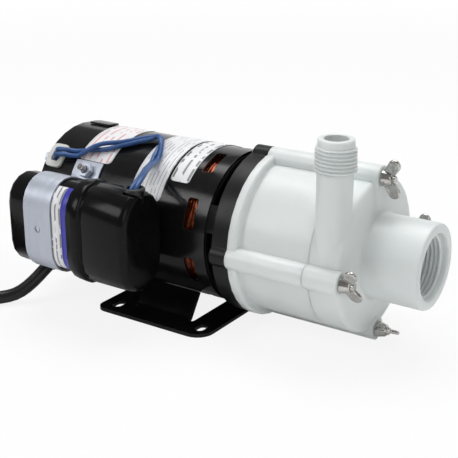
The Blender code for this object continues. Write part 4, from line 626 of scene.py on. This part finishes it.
# Where the CAD model has rings: above and outside these on the outlet, within these in the inlet.
RINGS_ABOVE_Z = 0.0995
RINGS_OUTSIDE_BORE = 0.0061
RINGS_X = (0.1018, INLET_RECESS_X + 1e-5)
RINGS_RADII = (0.0148, 0.01705)


def helix_share(distance, turn, pitch):
    """How far up the thread's flank a point lies, from 0 in the groove to 1 on the crest."""
    phase = (distance / pitch - turn) % 1.0
    share = min(max((1 - abs(2 * phase - 1) - ROOT_SHARE) / FLANK_SHARE, 0.0), 1.0)
    return share * share * (3 - 2 * share)


def wall_of_turns(name, stations, place, steps=72):
    """A round wall. A station is (height, its radius at a turn from 0 to 1)."""
    bm = bmesh.new()
    rows = []
    for height, radius in stations:
        row = []
        for k in range(steps):
            angle = math.tau * k / steps
            reach = radius(k / steps)
            across, up = reach * math.cos(angle), reach * math.sin(angle)
            row.append(bm.verts.new(place(height, across, up)))
        rows.append(row)
    join_rows(bm, rows)
    mesh = mesh_from(bm, name, 50, FINE_WELD)
    piece = new_piece(name, mesh, "white_plastic", finish="white_threads")
    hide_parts("volute")


def outlet_radius(depth, crest, fade):
    def at_turn(turn):
        rise = helix_share(depth, turn, OUTLET_PITCH)
        height = (crest - OUTLET_RADIUS) * fade * rise
        return OUTLET_RADIUS + height - ROOT_DEPTH * fade * (1 - rise)

    return at_turn


def outlet_stations():
    stations = [(-depth, lambda turn, r=r: r) for depth, r in OUTLET_RIM]
    length = OUTLET_TURNS * OUTLET_PITCH
    for i in range(106):
        depth = OUTLET_THREAD_TOP + length * i / 105
        run_in = (depth - OUTLET_THREAD_TOP) / OUTLET_RUN_IN
        run_out = (OUTLET_THREAD_TOP + length - depth) / OUTLET_RUN_OUT
        crest = OUTLET_CREST + OUTLET_TAPER * (depth - TAPER_FROM) / OUTLET_PITCH
        stations.append((-depth, outlet_radius(depth, crest, min(1.0, run_in, run_out))))
    return [*stations, (-OUTLET_WALL_END, lambda turn: OUTLET_RADIUS)]


def inlet_radius(depth, fade):
    def at_turn(turn):
        return INLET_RADIUS - INLET_THREAD_HEIGHT * fade * helix_share(depth, turn, INLET_PITCH)

    return at_turn


def inlet_stations():
    stations = [(INLET_RECESS_X, lambda turn: INLET_MOUTH_RADIUS)]
    length = INLET_TURNS * INLET_PITCH
    for i in range(70):
        depth = length * i / 69
        fade = min(1.0, depth / INLET_RUN_IN, (length - depth) / INLET_RUN_OUT)
        stations.append((INLET_RECESS_X - depth, inlet_radius(depth, fade)))
    return stations


def is_thread(at):
    """Whether a point lies on the CAD model's ring crests, which the helices stand in for."""
    from_outlet = math.hypot(at.x - OUTLET.x, at.y - OUTLET.y)
    if at.z > RINGS_ABOVE_Z and from_outlet > RINGS_OUTSIDE_BORE:
        return True
    low_x, high_x = RINGS_X
    low_r, high_r = RINGS_RADII
    return low_x < at.x < high_x and low_r < math.hypot(at.y, at.z - AXIS_HEIGHT) < high_r


skin("volute", MOULDED_EDGE, left_out=is_thread)
wall_of_turns("outlet_thread", outlet_stations(), lambda h, a, b: OUTLET + Vector((a, b, h)))
wall_of_turns("inlet_thread", inlet_stations(), lambda h, a, b: Vector((h, a, AXIS_HEIGHT + b)))


# Wing nuts with dished, rounded wings

NUT_FACE_X = 0.0853
BOLT_CIRCLE = 0.04185
FIRST_NUT_AT = 2.15  # degrees round the bolt circle
NUT_TURNS = (97, 97, 117, 156)  # degrees about the stud, as in the photograph
NUT_BOSS = (
    (0.0, 0.0021),
    (0.0, 0.0041),
    (0.0002, 0.0043),
    (0.0010, 0.0042),
    (0.0048, 0.0032),
    (0.0052, 0.0028),
    (0.0052, 0.0021),
)
WING_TIP = (0.0071, 0.0061)
WING_TIP_RADIUS = 0.0033
WING_CENTRE = (0.0042, 0.0046)
WING_DISH = (  # share of the outline's size, and half the thickness there
    (0.42, 0.00078),
    (0.66, 0.00084),
    (0.80, 0.00098),
    (0.90, 0.00094),
    (0.96, 0.00074),
    (1.0, 0.00040),
)


def wing_outline():
    tip = []
    for degrees in range(-68, 146, 14):
        a = math.radians(degrees)
        tip.append(
            (
                WING_TIP[0] + WING_TIP_RADIUS * math.cos(a),
                WING_TIP[1] + WING_TIP_RADIUS * math.sin(a),
            )
        )
    return [(0.0012, 0.0002), (0.0040, 0.0005), *tip, (0.0036, 0.0076), (0.0012, 0.0056)]


def add_rings(bm, rings):
    """Joins rings of points in order, with a face on the first and the last."""
    rows = [[bm.verts.new(p) for p in ring] for ring in rings]
    join_rows(bm, rows)
    bm.faces.new(rows[0])
    bm.faces.new(rows[-1])


def wing_ring(side, share, thick):
    out_at, up_at = WING_CENTRE
    return [
        (up_at + (up - up_at) * share, side * (out_at + (out - out_at) * share), thick)
        for out, up in wing_outline()
    ]


def make_wing_nut(i):
    bm = bmesh.new()
    turns = [math.tau * k / 40 for k in range(40)]
    add_rings(bm, [[(x, r * math.cos(a), r * math.sin(a)) for a in turns] for x, r in NUT_BOSS])
    dish = [*WING_DISH, *((share, -thick) for share, thick in reversed(WING_DISH))]
    for side in (1, -1):
        add_rings(bm, [wing_ring(side, share, thick) for share, thick in dish])
    angle = math.radians(FIRST_NUT_AT + 90 * i)
    place = Matrix.Translation(
        (NUT_FACE_X, BOLT_CIRCLE * math.cos(angle), AXIS_HEIGHT + BOLT_CIRCLE * math.sin(angle))
    )
    bm.transform(place @ Matrix.Rotation(math.radians(NUT_TURNS[i]), 4, "X"))
    node = f"wing_nut_{i + 1}"
    mesh = mesh_from(bm, node, 50, FINE_WELD)
    nut = new_piece(f"{node}_formed", mesh, "stainless", BODY_OF[node])
    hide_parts(node)


for nut_index in range(4):
    make_wing_nut(nut_index)


# Strands round the outside of the winding's two end bundles

WINDING_RADIUS = 0.0371
STRAND_RADIUS = 0.00062
STRAND_PITCH = 0.00126
STRAND_CLEARANCE = 0.0003
STRAND_SWELL = 0.00024
STRAND_SWAY = 0.00030
STRAND_STEPS = 72
STRAND_SIDES = 7
BUNDLES = ((-0.0966, 13), (-0.0272, 19))  # first strand's x, and the count


def strand_section(bm, start, i, angle):
    """The section of strand i at one angle, where it swells outwards and sways along the shaft."""
    reach = WINDING_RADIUS + STRAND_CLEARANCE + STRAND_SWELL * math.sin(5 * angle + 1.7 * i)
    x = start + STRAND_PITCH * i + STRAND_SWAY * math.sin(3 * angle + 2.3 * i)
    section = []
    for m in range(STRAND_SIDES):
        side = math.tau * m / STRAND_SIDES
        out = reach + STRAND_RADIUS * math.cos(side)
        y, z = out * math.cos(angle), AXIS_HEIGHT + out * math.sin(angle)
        section.append(bm.verts.new((x + STRAND_RADIUS * math.sin(side), y, z)))
    return section


def make_strands():
    bm = bmesh.new()
    angles = [math.tau * k / STRAND_STEPS for k in range(STRAND_STEPS)]
    for start, count in BUNDLES:
        for i in range(count):
            rows = [strand_section(bm, start, i, angle) for angle in angles]
            join_rows(bm, [*rows, rows[0]])
    strands = new_piece("winding_strands", mesh_from(bm, "winding_strands", 80, 1e-8), "copper")
    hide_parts("stator_winding")


make_strands()


# Labels

LABEL_LIFT = 0.0001
LABEL_THICKNESS = 0.00012
CAN_Y = -0.0602
CAN_Z = 0.0534
CAN_ROUND_RADIUS = 0.0146
CAN_STRAIGHT = 0.0111  # half the straight part of the oval
CAN_LABEL_HEIGHTS = (0.0775, 0.0330)


def wrapped_label(name, low_x, high_x, start, corner, finish, end=62):
    """A sticker that follows the motor's shell between two angles, with rounded corners."""
    radius = SHELL_RADIUS + LABEL_LIFT
    start, end = math.radians(start), math.radians(end)
    span = abs(start - end) * radius
    stations = [corner * (1 - math.cos(math.pi / 2 * k / 5)) for k in range(6)]
    middle = [corner + (span - 2 * corner) * k / 40 for k in range(1, 40)]
    along = stations + middle + [span - s for s in reversed(stations)]
    bm = bmesh.new()
    rows = []
    for s in along:
        near = min(s, span - s)
        inset = corner - math.sqrt(max(corner**2 - max(corner - near, 0) ** 2, 0))
        angle = start + (end - start) * s / span
        y, z = radius * math.cos(angle), AXIS_HEIGHT + radius * math.sin(angle)
        width = high_x - low_x - 2 * inset
        rows.append([bm.verts.new((low_x + inset + width * k / 8, y, z)) for k in range(9)])
    join_rows(bm, rows, closed=False)
    thicken(new_piece(name, mesh_from(bm, name), "nylon", finish=finish), LABEL_THICKNESS, 1.0)


def oval_label(name, low_x, high_x, finish):
    """A sticker on the capacitor's near side, from its upper curve to its lower one."""
    half = CAN_ROUND_RADIUS + LABEL_THICKNESS
    high_z, low_z = CAN_LABEL_HEIGHTS
    bm = bmesh.new()
    rows = []
    for i in range(61):
        z = high_z + (low_z - high_z) * i / 60
        over = max(abs(z - CAN_Z) - CAN_STRAIGHT, 0.0)
        y = CAN_Y - math.sqrt(max(half**2 - over**2, 0.0))
        rows.append([bm.verts.new((low_x + (high_x - low_x) * k / 6, y, z)) for k in range(7)])
    join_rows(bm, rows, closed=False)
    thicken(new_piece(name, mesh_from(bm, name), "nylon", finish=finish), LABEL_THICKNESS, -1.0)


wrapped_label("main_label", -0.0478, -0.0270, 154, 0.0025, "sticker_fine")
wrapped_label("small_label", -0.0255, -0.0130, 136.5, 0.0020, "sticker_bold")
wrapped_label("rear_label", -0.0910, -0.0678, 134, 0.0025, "sticker_red", end=70)
oval_label("capacitor_label", -0.0880, -0.0648, "sticker_can")
oval_label("capacitor_label_band", -0.0648, -0.0562, "sticker_band")


# Blue leads, finer than in the CAD model and crossing twice on their way to the boot

LEAD_RADIUS = 0.00135
LEAD_HALF_SPACING = 0.00165
LEAD_LIFT = 0.00195
GROMMET_X = -0.1063
BOOT_HOLE_X = -0.0262
BOOT_TOP_Z = 0.0813
CROSSINGS = ((0.14, 0.36), (0.46, 0.66))  # shares of the length
CROSSING_LIFT = 0.0011
ACROSS_LEAN = Vector((0.3, 0, 0))  # keeps the pair apart where it runs round the shell


def over_shell(x, turn, lift):
    turn = math.radians(turn)
    reach = SHELL_RADIUS + lift
    return (x, reach * math.cos(turn), AXIS_HEIGHT + reach * math.sin(turn))


LEAD_ROUTE = (
    over_shell(GROMMET_X, 135.3, -0.0016),
    over_shell(GROMMET_X, 135.3, 0.0016),
    over_shell(GROMMET_X + 0.0026, 135.0, 0.0052),
    over_shell(GROMMET_X + 0.0080, 134.0, 0.0050),
    over_shell(GROMMET_X + 0.0150, 131.5, LEAD_LIFT + 0.0004),
    over_shell(-0.0800, 124.5, LEAD_LIFT + 0.0003),
    over_shell(-0.0640, 112.5, LEAD_LIFT + 0.0003),
    over_shell(-0.0545, 104.0, LEAD_LIFT + 0.0006),
    over_shell(-0.0475, 102.5, LEAD_LIFT + 0.0012),
    over_shell(-0.0425, 111.0, LEAD_LIFT + 0.0006),
    over_shell(-0.0402, 119.5, LEAD_LIFT + 0.0003),
    over_shell(-0.0388, 126.5, LEAD_LIFT + 0.0009),
    (-0.0342, -0.0385, 0.0862),
    (-0.0286, -0.0515, 0.0850),
    (BOOT_HOLE_X, CAN_Y - 0.0004, BOOT_TOP_Z - 0.0002),
    (BOOT_HOLE_X + 0.0004, CAN_Y, BOOT_TOP_Z - 0.0070),
)


def crossing(share, start, end):
    """A half turn of the pair between two shares of its length."""
    done = min(max((share - start) / (end - start), 0.0), 1.0)
    return math.pi * done * done * (3 - 2 * done)


def lead_points(side):
    """One wire's route, beside the pair's own middle line."""
    middle = smooth_route(LEAD_ROUTE, 0.0012)
    last = len(middle) - 1
    route = []
    for i, place in enumerate(middle):
        along = (middle[min(i + 1, last)] - middle[max(i - 1, 0)]).normalized()
        out = Vector((0, place.y, place.z - AXIS_HEIGHT)).normalized()
        across = (along + ACROSS_LEAN).cross(out).normalized()
        turn = sum(crossing(i / last, *shares) for shares in CROSSINGS)
        lift = out * (CROSSING_LIFT * abs(math.sin(turn)))
        route.append(place + lift + (across * math.cos(turn) + out * math.sin(turn)) * side)
    return route


for lead_name, lead_side in (
    ("capacitor_lead_1", LEAD_HALF_SPACING),
    ("capacitor_lead_2", -LEAD_HALF_SPACING),
):
    lead = tube(f"{lead_name}_wire", lead_points(lead_side), LEAD_RADIUS, "blue_wire")
    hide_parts(lead_name)


# Remaining CAD nodes keep their shape and take a finished material

for node_name, node in NODES.items():
    node.data.materials.clear()
    node.data.materials.append(look(SLOT_OF[node_name]))


# Stage and light

FLOOR_SIZE = 6.0
FLOOR_PLACE = (0.0, 0.6, -0.0001)
# Each pair of shares goes with a pair of distances from the origin.
# The first pair is painted shade: near the pump, reflections see less of the floor's glow, which
# darkens the floor round its foot.
PAINTED_SHADE_REFLECTED_SHARES, PAINTED_SHADE_REFLECTED_AT = (0.10, 1.0), (0.08, 0.55)
GLOW_SHARES, GLOW_AT = (0.86, 1.0), (0.4, 1.4)
BACKDROP_PLACE = (0.0, 2.4, 0.9)
BACKDROP_HALF_SIZE = (2.6, 0.9, 1, 1)
WORLD_LIGHT = 0.25


def light_path_share(made, glossy_share=None):
    """1 for rays that the camera, a glossy surface or a clear one sends, and 0 for the rest."""
    path = made.node("ShaderNodeLightPath")
    glossy = path.outputs["Is Glossy Ray"]
    if glossy_share:
        glossy = made.maths("MULTIPLY", glossy, glossy_share)
    seen = made.maths("MAXIMUM", path.outputs["Is Camera Ray"], glossy)
    return made.maths("MAXIMUM", seen, path.outputs["Is Transmission Ray"])


def stage_sheet(name, bm, made, share, under):
    """Puts a sheet on the stage that glows white by a share over the shader under it."""
    sheet = bpy.data.objects.new(name, mesh_from(bm, name))
    bpy.context.scene.collection.objects.link(sheet)
    glow = made.node("ShaderNodeEmission")
    glow.inputs["Color"].default_value = (1, 1, 1, 1)
    both = made.node("ShaderNodeMixShader")
    made.link(share, both.inputs["Fac"])
    made.link(under, both.inputs[1])
    made.link(glow.outputs["Emission"], both.inputs[2])
    made.link(both.outputs["Shader"], made.tree.nodes["Material Output"].inputs["Surface"])
    sheet.data.materials.append(made.mat)
    return sheet


def make_floor():
    """A white floor that keeps the object's shadow, and whose far edge can't be seen. To
    reflections it glows less near the pump, as painted shade round its foot.
    """
    bm = bmesh.new()
    bmesh.ops.create_grid(bm, x_segments=2, y_segments=2, size=FLOOR_SIZE / 2)
    made = Look("studio_floor", (0.93, 0.93, 0.93), 0.9).mottle(0.3, 0.004)
    place = made.node("ShaderNodeNewGeometry")
    reach = made.node("ShaderNodeVectorMath", operation="LENGTH")
    made.link(place.outputs["Position"], reach.inputs[0])
    # Painted shade round the pump's foot, seen only in reflections.
    reflected_painted_shade = made.ranged(reach.outputs["Value"], *PAINTED_SHADE_REFLECTED_SHARES, *PAINTED_SHADE_REFLECTED_AT)
    glowing = made.ranged(reach.outputs["Value"], *GLOW_SHARES, *GLOW_AT)
    share = made.maths("MULTIPLY", light_path_share(made, reflected_painted_shade), glowing)
    floor = stage_sheet("floor", bm, made, share, made.shader.outputs["BSDF"])
    floor.location = FLOOR_PLACE


def make_backdrop():
    """A white sheet behind the pump that only the camera and reflections see."""
    bm = bmesh.new()
    bmesh.ops.create_grid(bm, x_segments=2, y_segments=2, size=1.0)
    upright = Matrix.Rotation(math.pi / 2, 4, "X") @ Matrix.Diagonal(BACKDROP_HALF_SIZE)
    bm.transform(Matrix.Translation(BACKDROP_PLACE) @ upright)
    made = Look("white_sheet", (0.9, 0.9, 0.9), 0.9).mottle(0.3, 0.004)
    clear = made.node("ShaderNodeBsdfTransparent")
    stage_sheet("backdrop", bm, made, light_path_share(made), clear.outputs["BSDF"])


def make_world():
    """Plain ambient light, and white for the camera and clear surfaces."""
    world = bpy.data.worlds.new("studio")
    world.use_nodes = True
    bpy.context.scene.world = world
    tree = world.node_tree
    background = tree.nodes["Background"]
    background.inputs["Color"].default_value = (1, 1, 1, 1)
    path = tree.nodes.new("ShaderNodeLightPath")
    seen = tree.nodes.new("ShaderNodeMath")
    seen.operation = "MAXIMUM"
    tree.links.new(path.outputs["Is Camera Ray"], seen.inputs[0])
    tree.links.new(path.outputs["Is Transmission Ray"], seen.inputs[1])
    level = tree.nodes.new("ShaderNodeMapRange")
    level.inputs["To Min"].default_value = WORLD_LIGHT
    level.inputs["To Max"].default_value = 1.0
    tree.links.new(seen.outputs[0], level.inputs["Value"])
    tree.links.new(level.outputs["Result"], background.inputs["Strength"])


def area_light(name, place, target, size, size_y, power):
    data = bpy.data.lights.new(name, "AREA")
    data.shape = "RECTANGLE"
    data.size = size
    data.size_y = size_y
    data.energy = power
    lamp = bpy.data.objects.new(name, data)
    lamp.location = place
    aim = Vector(target) - Vector(place)
    lamp.rotation_euler = aim.to_track_quat("-Z", "Y").to_euler()
    bpy.context.scene.collection.objects.link(lamp)


make_floor()
make_backdrop()
make_world()
area_light("overhead_softbox", (-0.15, 0.25, 1.20), (0.0, 0.0, 0.05), 1.1, 0.8, 12.0)
area_light("front_left_softbox", (-0.75, -1.05, 0.85), (0.0, 0.0, 0.05), 0.6, 0.6, 5.2)
area_light("front_right_fill", (1.25, -0.75, 0.60), (0.05, 0.0, 0.05), 0.7, 0.9, 3.4)
bpy.context.scene.view_settings.view_transform = "Standard"
